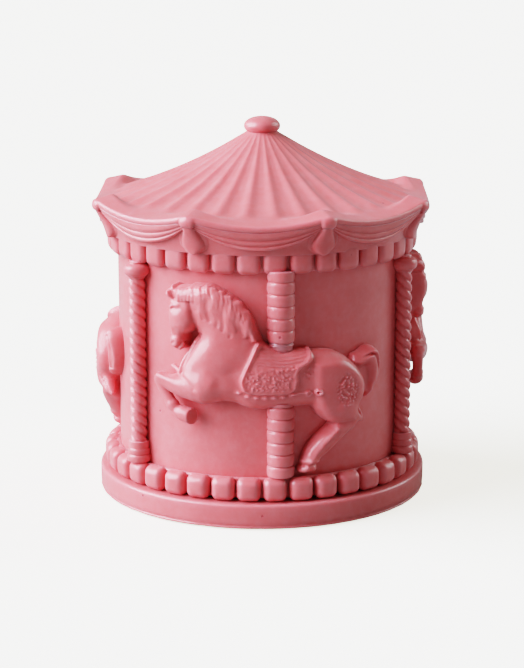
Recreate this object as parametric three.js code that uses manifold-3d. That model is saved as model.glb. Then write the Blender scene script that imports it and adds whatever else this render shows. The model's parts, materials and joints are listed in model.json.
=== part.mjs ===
// Carousel music box. A one-colour cast carousel turns on a fixed plinth. Inside its drum stands an
// 18-note cylinder movement: a going barrel turns the carousel and the pinned cylinder, and a worm and
// fly hold the speed. A wing key in a recess under the plinth winds the mainspring.
// Millimetres, +Z up. The origin is the middle of the underside. Azimuth 0 faces -Y, the front, and
// azimuths grow towards +X.
import * as THREE from "three";
import { mergeVertices } from "three/addons/utils/BufferGeometryUtils.js";
import Module from "manifold-3d";

const wasm = await Module();
wasm.setup();

// ---------------------------------------------------------------- driving dimensions
const GAP = 0.3; // between pieces that touch
const FIT = 0.3; // radial room of a screw or shaft in its hole

const BASE_R = 52; // plinth
const PLINTH_Z = [0.4, 7.9];
const RECESS_R = 35.5; // hollow under the movement, for the key
const COLLAR = { r: 41.8, top: 12 };
const FELT_RING = { r: [46.5, 50.5], z: [0, 1] };
const GLIDE_RING = { r: [43.1, 45.1], z: [7.1, 8.1] };

const DRUM = { r: 45.5, inner: 42.7, z: [8.4, 89.5] };
const CAST_R = DRUM.r + GAP; // inner radius of what is glued on the drum

const BLOCKS = 38; // in each of the two block rings
const LOWER_BLOCKS = { z: [8.4, 14.9], root: 47.4, tip: 50.5 };
const UPPER_BLOCKS = { z: [78, 83.5], root: 46.9, tip: 48.8 };

const HORSES = 3;
const HORSE_PHASE = 7; // azimuth of the first horse and its pole
const POLE = { r: 4.1, centre: 46.2, z: [15.3, 77.6] };
const COLUMN = { r: 2.5, centre: 47.6, foot: [15.3, 22], head: [73.2, 77.6] };

const BAYS = 8; // scallops of the roof's edge
const BAY_PHASE = -1.4; // azimuth of the middle of the front bay
const EAR_R = 55.2; // edge of the roof at an upturned tip
const BAY_R = 52.5; // edge of the roof in the middle of a bay
const EAR_LIFT = 3.9; // how far a tip stands above the middle of a bay
const LIFT_R = [45, 51]; // radii between which the roof takes up that lift
const LIP_T = 1.7;
const VALANCE_FOOT = { r: 49.4, z: 83.8 };
const ROOF_TOP = { r: 6, z: 113.2 };
const ROOF_DROP = 20.4; // from the top to the edge in the middle of a bay
const ROOF_T = 2.4;
const FINIAL = { r: 5.5, half: 2.9, z: 115.9, peg: 2 };

const PLATE = { r: 41.5, z: [12.3, 15.3] }; // mounting plate
const PLATE_SCREW = { r: 1.3, centre: 38.6, azimuths: [30, 150, 270] };
const BED_Z = [15.6, 17.2]; // bedplate of the movement
const MOVEMENT_SCREW_R = 1.2;
const MOVEMENT_SCREWS = [[-9.5, 12.5], [29.5, 12.5], [22, -14]];
const BARREL = { r: 11, wall: 0.8, z: [20, 28.1] };
const LID_Z = [28.4, 29.35];
const ARBOR_R = 2;

const CROWN = { teeth: 48, pitchR: 10.1, pitchZ: 29.8, width: 1.7 };
const CROWN_MODULE = (2 * CROWN.pitchR) / CROWN.teeth;
const PINION = { teeth: 12, x: [9.35, 10.85] };
const AXIS_Z = CROWN.pitchZ + (CROWN_MODULE * PINION.teeth) / 2; // height of the cylinder's axis

const CYLINDER = { r: 6.5, x: [12.9, 27.3] };
const SPINDLE = { r: 1, fit: 0.2 }; // arbor of the cylinder
const WHEEL = { teeth: 40, module: 0.35, x: [28, 29] };
const LEAVES = 8; // of the governor wheel's own pinion
const TRAIN_Y = (-WHEEL.module * (WHEEL.teeth + LEAVES)) / 2;
const WORM_WHEEL = { teeth: 20, module: 0.4, x: [32.1, 33.1] };
const WORM = { pitchR: 1.6, x: 32.6, turns: 4, core: 1.1 };
const WORM_Y = TRAIN_Y - (WORM_WHEEL.module * WORM_WHEEL.teeth) / 2 - WORM.pitchR;
const FLY = { r: 3.4, z: [38.6, 42], t: 0.8, pivot: 0.6, top: 44.4 };

const COMB = { notes: 18, t: 0.8, x: [13.2, 27], tip: 7.15, root: 15.2, back: 23 };
const COMB_Z = [AXIS_Z - COMB.t / 2, AXIS_Z + COMB.t / 2];
const COMB_SCREWS = [[16.6, 19.6], [23.6, 19.6]];

const DRIVE_PLATE = { r: 42.3, z: [48, 50.5], sight: 9 };
const DRIVE_SCREW = { r: 1, centre: 40.2 };
const LUG = { r: 38, z: [45.6, 47.7], half: 5 };
const STUD_R = 1.5; // threaded end of the drive shaft

const ROUND = 42; // segments of the big castings
const MEDIUM = 32;
const SMALL = 16; // segments of shafts
const SCREW_SIDES = 10;

// ---------------------------------------------------------------- materials
const finish = (color, roughness, metalness) =>
  new THREE.MeshStandardMaterial({ color, roughness, metalness });
const CAST = finish(0xdd858f, 0.38, 0);
const BRASS = finish(0xc9a251, 0.3, 1);
const STEEL = finish(0xb9bcc0, 0.3, 1);
const ZINC = finish(0x9a9da0, 0.5, 1);
const FELT = finish(0xd9cfc9, 0.95, 0);
const BOARD = finish(0x4a4240, 0.7, 0);
const NYLON = finish(0xe9e6dd, 0.5, 0);

// ---------------------------------------------------------------- small tools
const range = (n) => Array.from({ length: n }, (_, i) => i);
const rad = (degrees) => (degrees * Math.PI) / 180;
const at = (r, azimuth) => [r * Math.sin(rad(azimuth)), -r * Math.cos(rad(azimuth))];
const mix = (a, b, t) => a + (b - a) * t;
const smooth = (t) => {
  const c = Math.min(1, Math.max(0, t));
  return c * c * (3 - 2 * c);
};

function solid(geometry) {
  const loose = geometry.index ? geometry.toNonIndexed() : geometry;
  const bare = new THREE.BufferGeometry().setAttribute("position", loose.getAttribute("position"));
  const merged = mergeVertices(bare, 1e-4);
  const vertProperties = merged.attributes.position.array;
  const triVerts = new Uint32Array(merged.index.array);
  return new wasm.Manifold(new wasm.Mesh({ numProp: 3, vertProperties, triVerts }));
}

function geometryOf(manifold) {
  const mesh = manifold.getMesh();
  const geometry = new THREE.BufferGeometry();
  geometry.setAttribute("position", new THREE.BufferAttribute(mesh.vertProperties, 3));
  geometry.setIndex(new THREE.BufferAttribute(mesh.triVerts, 1));
  geometry.computeVertexNormals();
  return geometry;
}

function group(parent, position = [0, 0, 0]) {
  const child = new THREE.Group();
  child.position.set(...position);
  parent.add(child);
  return child;
}

// A group whose own Z axis lies along the object's X, with its X along Y and its Y along Z.
function lyingGroup(parent, position) {
  const child = group(parent, position);
  child.rotation.set(Math.PI / 2, Math.PI / 2, 0);
  return child;
}

// The piece is stood at a place in its group and turned about its own Z by an angle in degrees.
function place(parent, name, manifold, material, position = [0, 0, 0], turn = 0) {
  const mesh = new THREE.Mesh(geometryOf(manifold), material);
  mesh.name = name;
  mesh.position.set(...position);
  mesh.rotation.z = rad(turn);
  parent.add(mesh);
}

// ---------------------------------------------------------------- shapes
// A profile of [r, z] points turned about Z. It starts and ends on the axis, or closes on itself.
function turned(profile, segments = ROUND) {
  const points = profile.map(([r, z]) => new THREE.Vector2(r, z));
  if (profile.every(([r]) => r > 0)) points.push(points[0].clone());
  if (THREE.ShapeUtils.area(points) < 0) points.reverse();
  return solid(new THREE.LatheGeometry(points, segments).rotateX(Math.PI / 2));
}

const rod = (r, [z0, z1], segments = SMALL) => turned([[0, z0], [r, z0], [r, z1], [0, z1]], segments);
const tube = ([r0, r1], [z0, z1], segments = ROUND) =>
  turned([[r0, z0], [r1, z0], [r1, z1], [r0, z1]], segments);

// A flat outline of [x, y] points with round holes [x, y, r], from z0 up to z1.
function plate(outline, [z0, z1], holes = []) {
  const shape = new THREE.Shape(outline.map(([x, y]) => new THREE.Vector2(x, y)));
  for (const [x, y, r] of holes) shape.holes.push(new THREE.Path().absarc(x, y, r, 0, 2 * Math.PI, false));
  const settings = { depth: z1 - z0, bevelEnabled: false, curveSegments: 7 };
  return solid(new THREE.ExtrudeGeometry(shape, settings).translate(0, 0, z0));
}

const block = ([x0, x1], [y0, y1], z) => plate([[x0, y0], [x1, y0], [x1, y1], [x0, y1]], z);
const disc = (r) => range(ROUND).map((i) => at(r, (360 * i) / ROUND));
const circle = (r, sides) => range(sides).map((i) => at(r, (360 * i) / sides));
const together = (...solids) => solids.reduce((whole, next) => whole.add(next));

// A bar that follows a path of [x, y, z] points, with its section given as [across, up].
function swept(path, section) {
  const shape = new THREE.Shape(section.map(([x, y]) => new THREE.Vector2(x, y)));
  const extrudePath = new THREE.CatmullRomCurve3(path.map((p) => new THREE.Vector3(...p)));
  const settings = { extrudePath, steps: path.length - 1, bevelEnabled: false };
  return solid(new THREE.ExtrudeGeometry(shape, settings));
}

// The skin between rings of [x, y, z] points, each ring with as many points as the next.
function skin(rings, closed) {
  const n = rings[0].length;
  const faces = [];
  range(rings.length - (closed ? 0 : 1)).forEach((j) => {
    const [p, q] = [j * n, ((j + 1) % rings.length) * n];
    range(n).forEach((i) => {
      const m = (i + 1) % n;
      faces.push(p + i, p + m, q + m, p + i, q + m, q + i);
    });
  });
  if (!closed) {
    const last = (rings.length - 1) * n;
    range(n - 2).forEach((i) => faces.push(0, i + 2, i + 1, last, last + i + 1, last + i + 2));
  }
  const geometry = new THREE.BufferGeometry();
  geometry.setAttribute("position", new THREE.BufferAttribute(new Float32Array(rings.flat(2)), 3));
  geometry.setIndex(faces);
  return solid(geometry);
}
const ringSkin = (rings) => skin(rings, true); // the last ring joins the first
const cappedSkin = (rings) => skin(rings, false); // a flat cap on the first and on the last

// A slotted screw that stands head up, with the underside of its head at height 0.
function screw(r, headR, headT, length) {
  const profile = [
    [0, -length], [r, -length], [r, 0], [headR, 0], [headR * 0.8, headT], [0, headT],
  ];
  const slot = block([-headR, headR], [-0.3, 0.3], [headT * 0.55, headT + 1]);
  return turned(profile, SCREW_SIDES).subtract(slot);
}

// ---------------------------------------------------------------- plinth and what it carries
function addPlinth(parent) {
  const [low, high] = PLINTH_Z;
  const profile = [
    [RECESS_R, low], [FELT_RING.r[0] - GAP, low],
    [FELT_RING.r[0] - GAP, FELT_RING.z[1] + GAP], [FELT_RING.r[1] + GAP, FELT_RING.z[1] + GAP],
    [FELT_RING.r[1] + GAP, low], [BASE_R - 0.6, low], [BASE_R, low + 1],
    [BASE_R, high - 2.2], [BASE_R - 0.6, high - 0.7], [BASE_R - 1.6, high],
    [GLIDE_RING.r[1] + GAP, high], [GLIDE_RING.r[1] + GAP, GLIDE_RING.z[0] - GAP],
    [GLIDE_RING.r[0] - GAP, GLIDE_RING.z[0] - GAP], [GLIDE_RING.r[0] - GAP, high],
    [COLLAR.r, high], [COLLAR.r, COLLAR.top], [RECESS_R, COLLAR.top],
  ];
  const drilled = rod(PLATE_SCREW.r + FIT, [5, COLLAR.top + 1], SCREW_SIDES);
  const holes = PLATE_SCREW.azimuths.map((azimuth) => {
    const [x, y] = at(PLATE_SCREW.centre, azimuth);
    return drilled.translate([x, y, 0]);
  });
  place(parent, "plinth", turned(profile).subtract(together(...holes)), CAST);
  place(parent, "base_felt", tube(FELT_RING.r, FELT_RING.z), FELT);
  place(parent, "glide_ring", tube(GLIDE_RING.r, GLIDE_RING.z), NYLON);
}

function addMountingPlate(parent) {
  const holes = [
    [0, 0, 3.2],
    ...PLATE_SCREW.azimuths.map((azimuth) => [...at(PLATE_SCREW.centre, azimuth), PLATE_SCREW.r + FIT]),
    ...MOVEMENT_SCREWS.map(([x, y]) => [x, y, MOVEMENT_SCREW_R + FIT]),
  ];
  place(parent, "mounting_plate", plate(disc(PLATE.r), PLATE.z, holes), BOARD);
  const plateScrew = screw(PLATE_SCREW.r, 2.4, 1.4, 9.6);
  PLATE_SCREW.azimuths.forEach((azimuth, i) => {
    const seat = [...at(PLATE_SCREW.centre, azimuth), PLATE.z[1] + GAP];
    place(parent, `plate_screw_${i + 1}`, plateScrew, STEEL, seat);
  });
  // these three come up from the recess, so they stand head down
  const movementScrew = screw(MOVEMENT_SCREW_R, 2.3, 1.2, 4.9).rotate([180, 0, 0]);
  MOVEMENT_SCREWS.forEach(([x, y], i) => {
    place(parent, `movement_screw_${i + 1}`, movementScrew, STEEL, [x, y, PLATE.z[0] - GAP]);
  });
}

// ---------------------------------------------------------------- movement, fixed pieces
function addBedplate(parent) {
  const outline = [
    [-13.5, -6], [-8, -13], [8, -15], [22, -18], [36, -18], [38.2, -15.5], [38.2, -4],
    [36.5, 10], [34, 17], [29, 23.5], [11.4, 23.5], [8, 16], [-10, 16], [-13.5, 12],
  ];
  const holes = [[0, 0, ARBOR_R + FIT], ...MOVEMENT_SCREWS.map(([x, y]) => [x, y, MOVEMENT_SCREW_R + FIT])];
  const bed = plate(outline, BED_Z, holes);
  const shelfSides = [[COMB.x[0] - 1, COMB.x[1] + 1], [COMB.root + 0.6, 23.4]];
  const shelf = block(...shelfSides, [BED_Z[1] - 0.1, COMB_Z[0] - GAP]);
  const tapped = COMB_SCREWS.map(([x, y]) => rod(1 + FIT, [26, 40], SCREW_SIDES).translate([x, y, 0]));
  const clutchPeg = block([6.2, 7.4], [-1, 1], [BED_Z[1] - 0.1, 19.2]);
  place(parent, "bedplate", together(bed, shelf, clutchPeg).subtract(together(...tapped)), ZINC);
}

function addComb(parent) {
  const pitch = (COMB.x[1] - COMB.x[0]) / COMB.notes;
  const width = pitch * 0.26;
  const [left, right] = COMB.x;
  const outline = [[left, COMB.tip], [right, COMB.tip], [right, COMB.back], [left, COMB.back]];
  const holes = COMB_SCREWS.map(([x, y]) => [x, y, 1 + FIT]);
  const slits = range(COMB.notes - 1).map((i) => {
    const end = left + pitch * (i + 1);
    // the low notes have the longest teeth
    const root = COMB.root - (4.5 * i) / COMB.notes;
    return block([end - width, end], [COMB.tip - 1, root], [COMB_Z[0] - 1, COMB_Z[1] + 1]);
  });
  place(parent, "comb", plate(outline, COMB_Z, holes).subtract(together(...slits)), STEEL);
  const combScrew = screw(1, 2, 1.2, COMB_Z[1] + GAP - 27);
  COMB_SCREWS.forEach(([x, y], i) => {
    place(parent, `comb_screw_${i + 1}`, combScrew, STEEL, [x, y, COMB_Z[1] + GAP]);
  });
}

// A hole along X for an arbor at the height of the cylinder's axis.
const arborHole = (y, x) =>
  rod(SPINDLE.r + SPINDLE.fit, x).rotate([90, 0, 90]).translate([0, y, AXIS_Z]);

function addBearings(parent) {
  const low = BED_Z[1] + GAP;
  const wall = [low, AXIS_Z + 3];
  const foot = [low, low + 1.4];
  const inner = together(block([11.5, 12.5], [-4, 4], wall), block([12.4, 17], [-4, 4], foot));
  place(parent, "inner_bracket", inner.subtract(arborHole(0, [8, 40])), BRASS);
  const outer = together(block([29.6, 30.6], [-11, 4], wall), block([24, 29.7], [-11, 4], foot));
  const bored = outer.subtract(arborHole(0, [8, 40])).subtract(arborHole(TRAIN_Y, [8, 40]));
  place(parent, "outer_bracket", bored, BRASS);

  const high = FLY.top - 1;
  const frame = together(
    block([31.1, 37.8], [-17, -6.2], foot),
    block([36.5, 37.8], [-15.5, -6.2], [low, high + 1.4]),
    block([31.1, 37.8], [-15.5, -12.5], [high, high + 1.4]),
  );
  const pivots = rod(FLY.pivot + SPINDLE.fit, [low - 1, high + 3]).translate([WORM.x, WORM_Y, 0]);
  place(parent, "governor_frame", frame.subtract(pivots).subtract(arborHole(TRAIN_Y, [30, 40])), NYLON);
}

function addClutchSpring(parent) {
  const perTurn = 12;
  const coilR = ARBOR_R + 0.6;
  const rise = 0.6;
  const path = range(3 * perTurn + 1).map((i) => [
    ...at(coilR, 90 + (360 * i) / perTurn),
    17.9 + (rise * i) / perTurn,
  ]);
  path.push([coilR + 0.4, 1.8, 19.7], [5.6, 2.2, 19.7]);
  place(parent, "clutch_spring", swept(path, circle(0.26, 6)), STEEL);
}

// ---------------------------------------------------------------- gears
// A spur outline with straight-sided teeth, each `share` of the pitch wide on the pitch circle.
function spur(teeth, module, share) {
  const pitchR = (teeth * module) / 2;
  const step = 360 / teeth;
  const [root, tip] = [pitchR - 1.15 * module, pitchR + 0.7 * module];
  return range(teeth).flatMap((i) => [
    at(root, step * (i - share / 2 - 0.09)),
    at(tip, step * (i - share / 2 + 0.1)),
    at(tip, step * (i + share / 2 - 0.1)),
    at(root, step * (i + share / 2 + 0.09)),
  ]);
}

// The lid of the barrel, with teeth that stand up from its rim as on a crown wheel.
function barrelLid() {
  const flat = tube([1.2 + FIT, BARREL.r], LID_Z, MEDIUM);
  const pitch = Math.PI * CROWN_MODULE;
  const [root, tip] = [0.27 * pitch, 0.13 * pitch];
  const tooth = cappedSkin(
    [-CROWN.width / 2, CROWN.width / 2].map((out) => [
      [-root, CROWN.pitchR + out, LID_Z[1] - 0.05],
      [-tip, CROWN.pitchR + out, CROWN.pitchZ + 0.7 * CROWN_MODULE],
      [tip, CROWN.pitchR + out, CROWN.pitchZ + 0.7 * CROWN_MODULE],
      [root, CROWN.pitchR + out, LID_Z[1] - 0.05],
    ]),
  );
  const crown = range(CROWN.teeth).map((i) => tooth.rotate([0, 0, (360 * (i + 0.5)) / CROWN.teeth]));
  return together(flat, ...crown);
}

function addBarrel(parent) {
  const { r, wall, z } = BARREL;
  const hole = ARBOR_R + FIT;
  const cup = [
    [hole, z[0]], [r, z[0]], [r, z[1]], [r - wall, z[1]], [r - wall, z[0] + wall], [hole, z[0] + wall],
  ];
  place(parent, "spring_barrel", turned(cup, MEDIUM), BRASS);
  const turns = 4;
  const perTurn = 14;
  const coil = range(turns * perTurn + 1).map((i) => [
    ...at(mix(ARBOR_R + 0.7, r - wall - 0.6, i / (turns * perTurn)), (360 * i) / perTurn),
    0,
  ]);
  const strip = [[-2.9, -0.18], [2.9, -0.18], [2.9, 0.18], [-2.9, 0.18]];
  place(parent, "mainspring", swept(coil, strip), STEEL, [0, 0, 24.4]);
  place(parent, "barrel_lid", barrelLid(), BRASS);
}

// The rotors below lie along X, so their own z is the object's x.
function addCylinder(parent) {
  const bored = (manifold) => manifold.subtract(rod(SPINDLE.r + SPINDLE.fit, [0, 40]));
  place(parent, "cylinder_arbor", rod(SPINDLE.r, [9, 31.8]), STEEL);
  place(parent, "music_cylinder", bored(rod(CYLINDER.r, CYLINDER.x, MEDIUM)), BRASS);
  place(parent, "cylinder_pinion", bored(plate(spur(PINION.teeth, CROWN_MODULE, 0.36), PINION.x)), BRASS);
  const wheel = bored(plate(spur(WHEEL.teeth, WHEEL.module, 0.38), WHEEL.x));
  place(parent, "cylinder_wheel", wheel, BRASS, [0, 0, 0], 90);
}

function addGovernorWheel(parent) {
  const spindle = rod(0.8, [27.6, 37.2]);
  const leaves = plate(spur(LEAVES, WHEEL.module, 0.36), [WHEEL.x[0] - 0.1, WHEEL.x[1] + 0.1]);
  const wheel = plate(spur(WORM_WHEEL.teeth, WORM_WHEEL.module, 0.32), WORM_WHEEL.x);
  // a leaf stands between two teeth of the wheel it meets
  const whole = together(spindle, leaves.rotate([0, 0, 180 / LEAVES]), wheel);
  place(parent, "governor_wheel", whole, BRASS, [0, 0, 0], 90);
}

// The fly's arbor carries a single-start right-handed worm, a ridge that climbs one tooth pitch a turn.
// Its surface is a radius over turn and height, sampled so that the ridge runs along the facets' edges.
function governorFly() {
  const sides = 8;
  const pitch = Math.PI * WORM_WHEEL.module;
  const tip = WORM.pitchR + 0.7 * WORM_WHEEL.module;
  const foot = AXIS_Z - (WORM.turns * pitch) / 2;
  const ring = (radiusAt, z) =>
    range(sides).map((i) => {
      const turn = i / sides;
      const r = radiusAt(turn);
      return [r * Math.cos(2 * Math.PI * turn), r * Math.sin(2 * Math.PI * turn), z];
    });
  const plain = (r, z) => ring(() => r, z);
  const ridge = (climb) => (turn) => {
    const phase = (((climb - turn) % 1) + 1.5) % 1;
    return WORM.core + (tip - WORM.core) * Math.max(0, 1 - Math.abs(phase - 0.5) / 0.24);
  };
  const rings = [
    plain(FLY.pivot, BED_Z[1] + GAP + 0.4),
    plain(FLY.pivot, 20.4),
    plain(WORM.core, 20.41),
    plain(WORM.core, foot - pitch / sides),
    ...range(WORM.turns * sides + 1).map((i) => ring(ridge(i / sides), foot + (pitch * i) / sides)),
    plain(WORM.core, foot + pitch * (WORM.turns + 1 / sides)),
    plain(WORM.core, FLY.z[1] + 0.5),
    plain(FLY.pivot, FLY.z[1] + 0.51),
    plain(FLY.pivot, FLY.top),
  ];
  const vane = block([-FLY.r, FLY.r], [-FLY.t / 2, FLY.t / 2], FLY.z);
  return together(cappedSkin(rings), vane);
}

// ---------------------------------------------------------------- winding and drive shafts
function addWinding(parent) {
  place(parent, "winding_arbor", rod(ARBOR_R, [9.4, 27.4]), STEEL);
  const socket = ARBOR_R + FIT;
  const collar = turned([[0, 8], [4, 8], [4, 11.4], [socket, 11.4], [socket, 9], [0, 9]], SMALL);
  const wing = (side) => {
    const outline = new THREE.Shape();
    outline.moveTo(side * 2, 8.3);
    outline.bezierCurveTo(side * 5, 9.5, side * 14.5, 10.6, side * 14.5, 5.8);
    outline.bezierCurveTo(side * 14.5, 0.8, side * 6, 1, side * 2, 3.4);
    outline.closePath();
    outline.holes.push(new THREE.Path().absarc(side * 9.2, 5.7, 1.9, 0, 2 * Math.PI, false));
    const flat = new THREE.ExtrudeGeometry(outline, { depth: 1.6, bevelEnabled: false, curveSegments: 8 });
    return solid(flat.rotateX(Math.PI / 2).translate(0, 0.8, 0));
  };
  place(parent, "winding_key", together(collar, rod(2.6, [3, 8.5]), wing(1), wing(-1)), STEEL);
}

function addDrive(parent) {
  const [low, high] = DRIVE_PLATE.z;
  const shaft = [
    [0, 28.6], [1.2, 28.6], [1.2, 29.65], [3.2, 29.65], [3.2, 31], [ARBOR_R, 31], [ARBOR_R, 45.4],
    [3.6, 45.4], [3.6, 46.6], [STUD_R, 46.6], [STUD_R, high + 3.5], [0, high + 3.5],
  ];
  place(parent, "drive_shaft", turned(shaft, SMALL), STEEL);
  place(parent, "thrust_washer", tube([STUD_R + FIT, 5], [46.9, 47.7], SMALL), NYLON);
  const azimuths = range(3).map((i) => HORSE_PHASE + 120 * i);
  const holes = [
    [0, 0, STUD_R + FIT],
    ...azimuths.map((azimuth) => [...at(DRIVE_SCREW.centre, azimuth), DRIVE_SCREW.r + FIT]),
    ...azimuths.map((azimuth) => [...at(22, azimuth + 60), DRIVE_PLATE.sight]),
  ];
  place(parent, "drive_plate", plate(disc(DRIVE_PLATE.r), DRIVE_PLATE.z, holes), BOARD);
  const driveScrew = screw(DRIVE_SCREW.r, 1.9, 1.2, high + GAP - LUG.z[0] - 0.4);
  azimuths.forEach((azimuth, i) => {
    const seat = [...at(DRIVE_SCREW.centre, azimuth), high + GAP];
    place(parent, `drive_screw_${i + 1}`, driveScrew, STEEL, seat);
  });
  place(parent, "shaft_nut", plate(circle(3.4, 6), [high + GAP, high + 2.5], [[0, 0, STUD_R + FIT]]), STEEL);
}

// ---------------------------------------------------------------- carousel castings
function drum() {
  const lug = block([-LUG.half, LUG.half], [-DRUM.r + 1.5, -LUG.r], LUG.z);
  const tapped = rod(DRIVE_SCREW.r + FIT, [LUG.z[0] - 1, LUG.z[1] + 1], SCREW_SIDES);
  const drilled = lug.subtract(tapped.translate([0, -DRIVE_SCREW.centre, 0]));
  const lugs = range(3).map((i) => drilled.rotate([0, 0, HORSE_PHASE + 120 * i]));
  return together(tube([DRUM.inner, DRUM.r], DRUM.z), ...lugs);
}

// A ring of blocks that stand out from a band round the drum.
function blockRing({ z, root, tip }) {
  const pitch = 360 / BLOCKS;
  const half = pitch * 0.37;
  const outline = range(BLOCKS).flatMap((i) => {
    const middle = pitch * (i + 0.5);
    return [
      at(root, middle - half),
      at(tip, middle - half * 0.94),
      at(tip, middle + half * 0.94),
      at(root, middle + half),
    ];
  });
  return plate(outline, z).subtract(rod(CAST_R, [z[0] - 1, z[1] + 1], ROUND));
}

// How far along the roof's edge a place is: 1 at an upturned tip, falling to 0 in the middle of a bay.
function earShare(azimuth) {
  const bays = ((azimuth - BAY_PHASE) * BAYS) / 360;
  return (2 * (bays - Math.round(bays))) ** 2;
}
const edgeR = (azimuth) => mix(BAY_R, EAR_R, earShare(azimuth));

// Height of the roof's upper face: a tent that flattens outwards, lifted towards each tip.
function roofZ(r, azimuth) {
  const t = (r - ROOF_TOP.r) / (BAY_R - ROOF_TOP.r);
  const tent = ROOF_TOP.z - ROOF_DROP * (1.45 * t - 0.45 * t * t);
  return tent + EAR_LIFT * earShare(azimuth) * smooth((r - LIFT_R[0]) / (LIFT_R[1] - LIFT_R[0]));
}
const edgeZ = (azimuth) => roofZ(edgeR(azimuth), azimuth);

// A ring of points round the axis, [r, z] at each azimuth, with a point on every tip.
function edgeRing(pointAt) {
  const segments = 6 * BAYS;
  return range(segments).map((i) => {
    const azimuth = BAY_PHASE + 180 / BAYS + (360 * i) / segments;
    const [r, z] = pointAt(azimuth);
    return [...at(r, azimuth), z];
  });
}

function roof() {
  const bore = FINIAL.peg + FIT;
  const seat = DRUM.z[1] + GAP;
  const top = [ROOF_TOP.r, 20, 34, 44, 48].map((r) => edgeRing((azimuth) => [r, roofZ(r, azimuth)]));
  const lip = [[0.5, 0], [0, LIP_T / 2], [0.5, LIP_T]].map(([inset, drop]) =>
    edgeRing((azimuth) => [edgeR(azimuth) - inset, edgeZ(azimuth) - drop]),
  );
  const under = [
    edgeRing((azimuth) => [CAST_R + 2, roofZ(CAST_R + 2, azimuth) - LIP_T - 1]),
    edgeRing(() => [DRUM.r, seat]),
    edgeRing(() => [DRUM.inner, seat]),
    ...[DRUM.inner - 2, 20].map((r) => edgeRing(() => [r, roofZ(r, 0) - ROOF_T])),
    edgeRing(() => [bore, ROOF_TOP.z - ROOF_T - 1]),
  ];
  const crown = edgeRing(() => [bore, ROOF_TOP.z]);
  return ringSkin([crown, ...top, ...lip, ...under].reverse());
}

function finial() {
  const steps = 8;
  const side = range(steps - 1).map((i) => {
    const a = Math.PI * ((i + 1) / steps - 0.5);
    return [FINIAL.r * Math.cos(a), FINIAL.z + FINIAL.half * Math.sin(a)];
  });
  const ball = turned([[0, FINIAL.z - FINIAL.half], ...side, [0, FINIAL.z + FINIAL.half]], 24);
  const seated = ball.subtract(rod(20, [100, ROOF_TOP.z + GAP]));
  return together(seated, rod(FINIAL.peg, [ROOF_TOP.z - ROOF_T - 2, FINIAL.z], SCREW_SIDES));
}

// The valance flares from the upper blocks to the underside of the roof's lip. Under each tip of the roof
// a gathered drop swells it.
function valance() {
  const inner = CAST_R + 0.4;
  const top = (azimuth) => edgeZ(azimuth) - LIP_T - GAP;
  const drop = (azimuth) => 1.1 * smooth((earShare(azimuth) - 0.55) / 0.4);
  const face = (share) => (azimuth) => [
    mix(VALANCE_FOOT.r, edgeR(azimuth) - 1.1, share ** 1.4) + drop(azimuth) * Math.sin(Math.PI * share),
    mix(VALANCE_FOOT.z, top(azimuth), share),
  ];
  return ringSkin([
    edgeRing(() => [inner, VALANCE_FOOT.z]),
    ...[0, 0.25, 0.5, 0.75, 1].map((share) => edgeRing(face(share))),
    edgeRing(() => [inner, DRUM.z[1] - 0.5]),
  ]);
}

// ---------------------------------------------------------------- poles, columns and horses
// All of these are made at the front of the drum and then turned round to their places on it.
const againstDrum = rod(CAST_R / Math.cos(Math.PI / ROUND), [0, 100], ROUND);
const poleRod = (r, z) => rod(r, z).translate([0, -POLE.centre, 0]);
const onDrum = (profile, sides) =>
  turned(profile, sides).translate([0, -COLUMN.centre, 0]).subtract(againstDrum);

const columnShaft = onDrum(
  [
    [0, COLUMN.foot[1] + GAP], [COLUMN.r, COLUMN.foot[1] + GAP],
    [COLUMN.r, COLUMN.head[0] - GAP], [0, COLUMN.head[0] - GAP],
  ],
  SCREW_SIDES,
);
const columnFoot = onDrum(
  [[0, 0], [3.7, 0], [3.9, 2], [3.3, 3], [3.5, 4.4], [2.9, 6.7], [0, 6.7]].map(([r, up]) => [
    r, COLUMN.foot[0] + up,
  ]),
  12,
);
const columnHead = onDrum(
  [[0, 0], [2.7, 0], [3.8, 1.8], [3.8, 3.6], [3.2, 4.4], [0, 4.4]].map(([r, up]) => [
    r, COLUMN.head[0] + up,
  ]),
  12,
);

// A horse in relief, facing the drum's left: rows of balls [along, height, out, radius, depth] joined by
// tapering links. Along is measured on the drum from the pole, and out from the drum's face.
const HORSE = [
  // barrel and rump
  [[-14, 46, 2.6, 8.2, 4.2], [-2, 45.5, 2.4, 7.8, 4.2], [8, 45.5, 2.6, 8, 4.2], [17, 44.5, 3, 9.6, 3.9]],
  // chest and arched neck
  [[-21, 46, 2.8, 8.8, 4], [-19, 57, 2.8, 7.6, 4.1], [-22, 66, 2.4, 6.2, 3.8]],
  // head, muzzle down
  [[-28, 66.5, 3, 4.8, 3.6], [-31, 57.5, 3, 3, 2.8]],
  // folded foreleg
  [[-22, 43.5, 3.4, 5.2, 3.4], [-36.4, 45.2, 3.6, 2.4, 2.4], [-31.5, 36.5, 3.2, 1.9, 1.9]],
  [[-31.5, 36.5, 3.2, 1.9, 1.9], [-29.2, 33, 3.2, 2, 2]],
  // thigh, hock and hind hoof
  [[17, 40, 3.2, 7.8, 3.7], [22.5, 32.8, 3, 3.2, 2.8], [11, 22.5, 2.6, 1.8, 2], [8.6, 18.8, 2.4, 2.4, 2.2]],
  // tail
  [[22.5, 49, 2.4, 2.6, 2.2], [30, 49.3, 2.4, 3, 2.4], [32, 43.5, 2.4, 2.4, 2], [29.6, 40, 2, 1.4, 1.6]],
];

// The flat layout bent round the drum.
const bent = (along, height, out) => [...at(DRUM.r + out, (along / DRUM.r) * (180 / Math.PI)), height];

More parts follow.
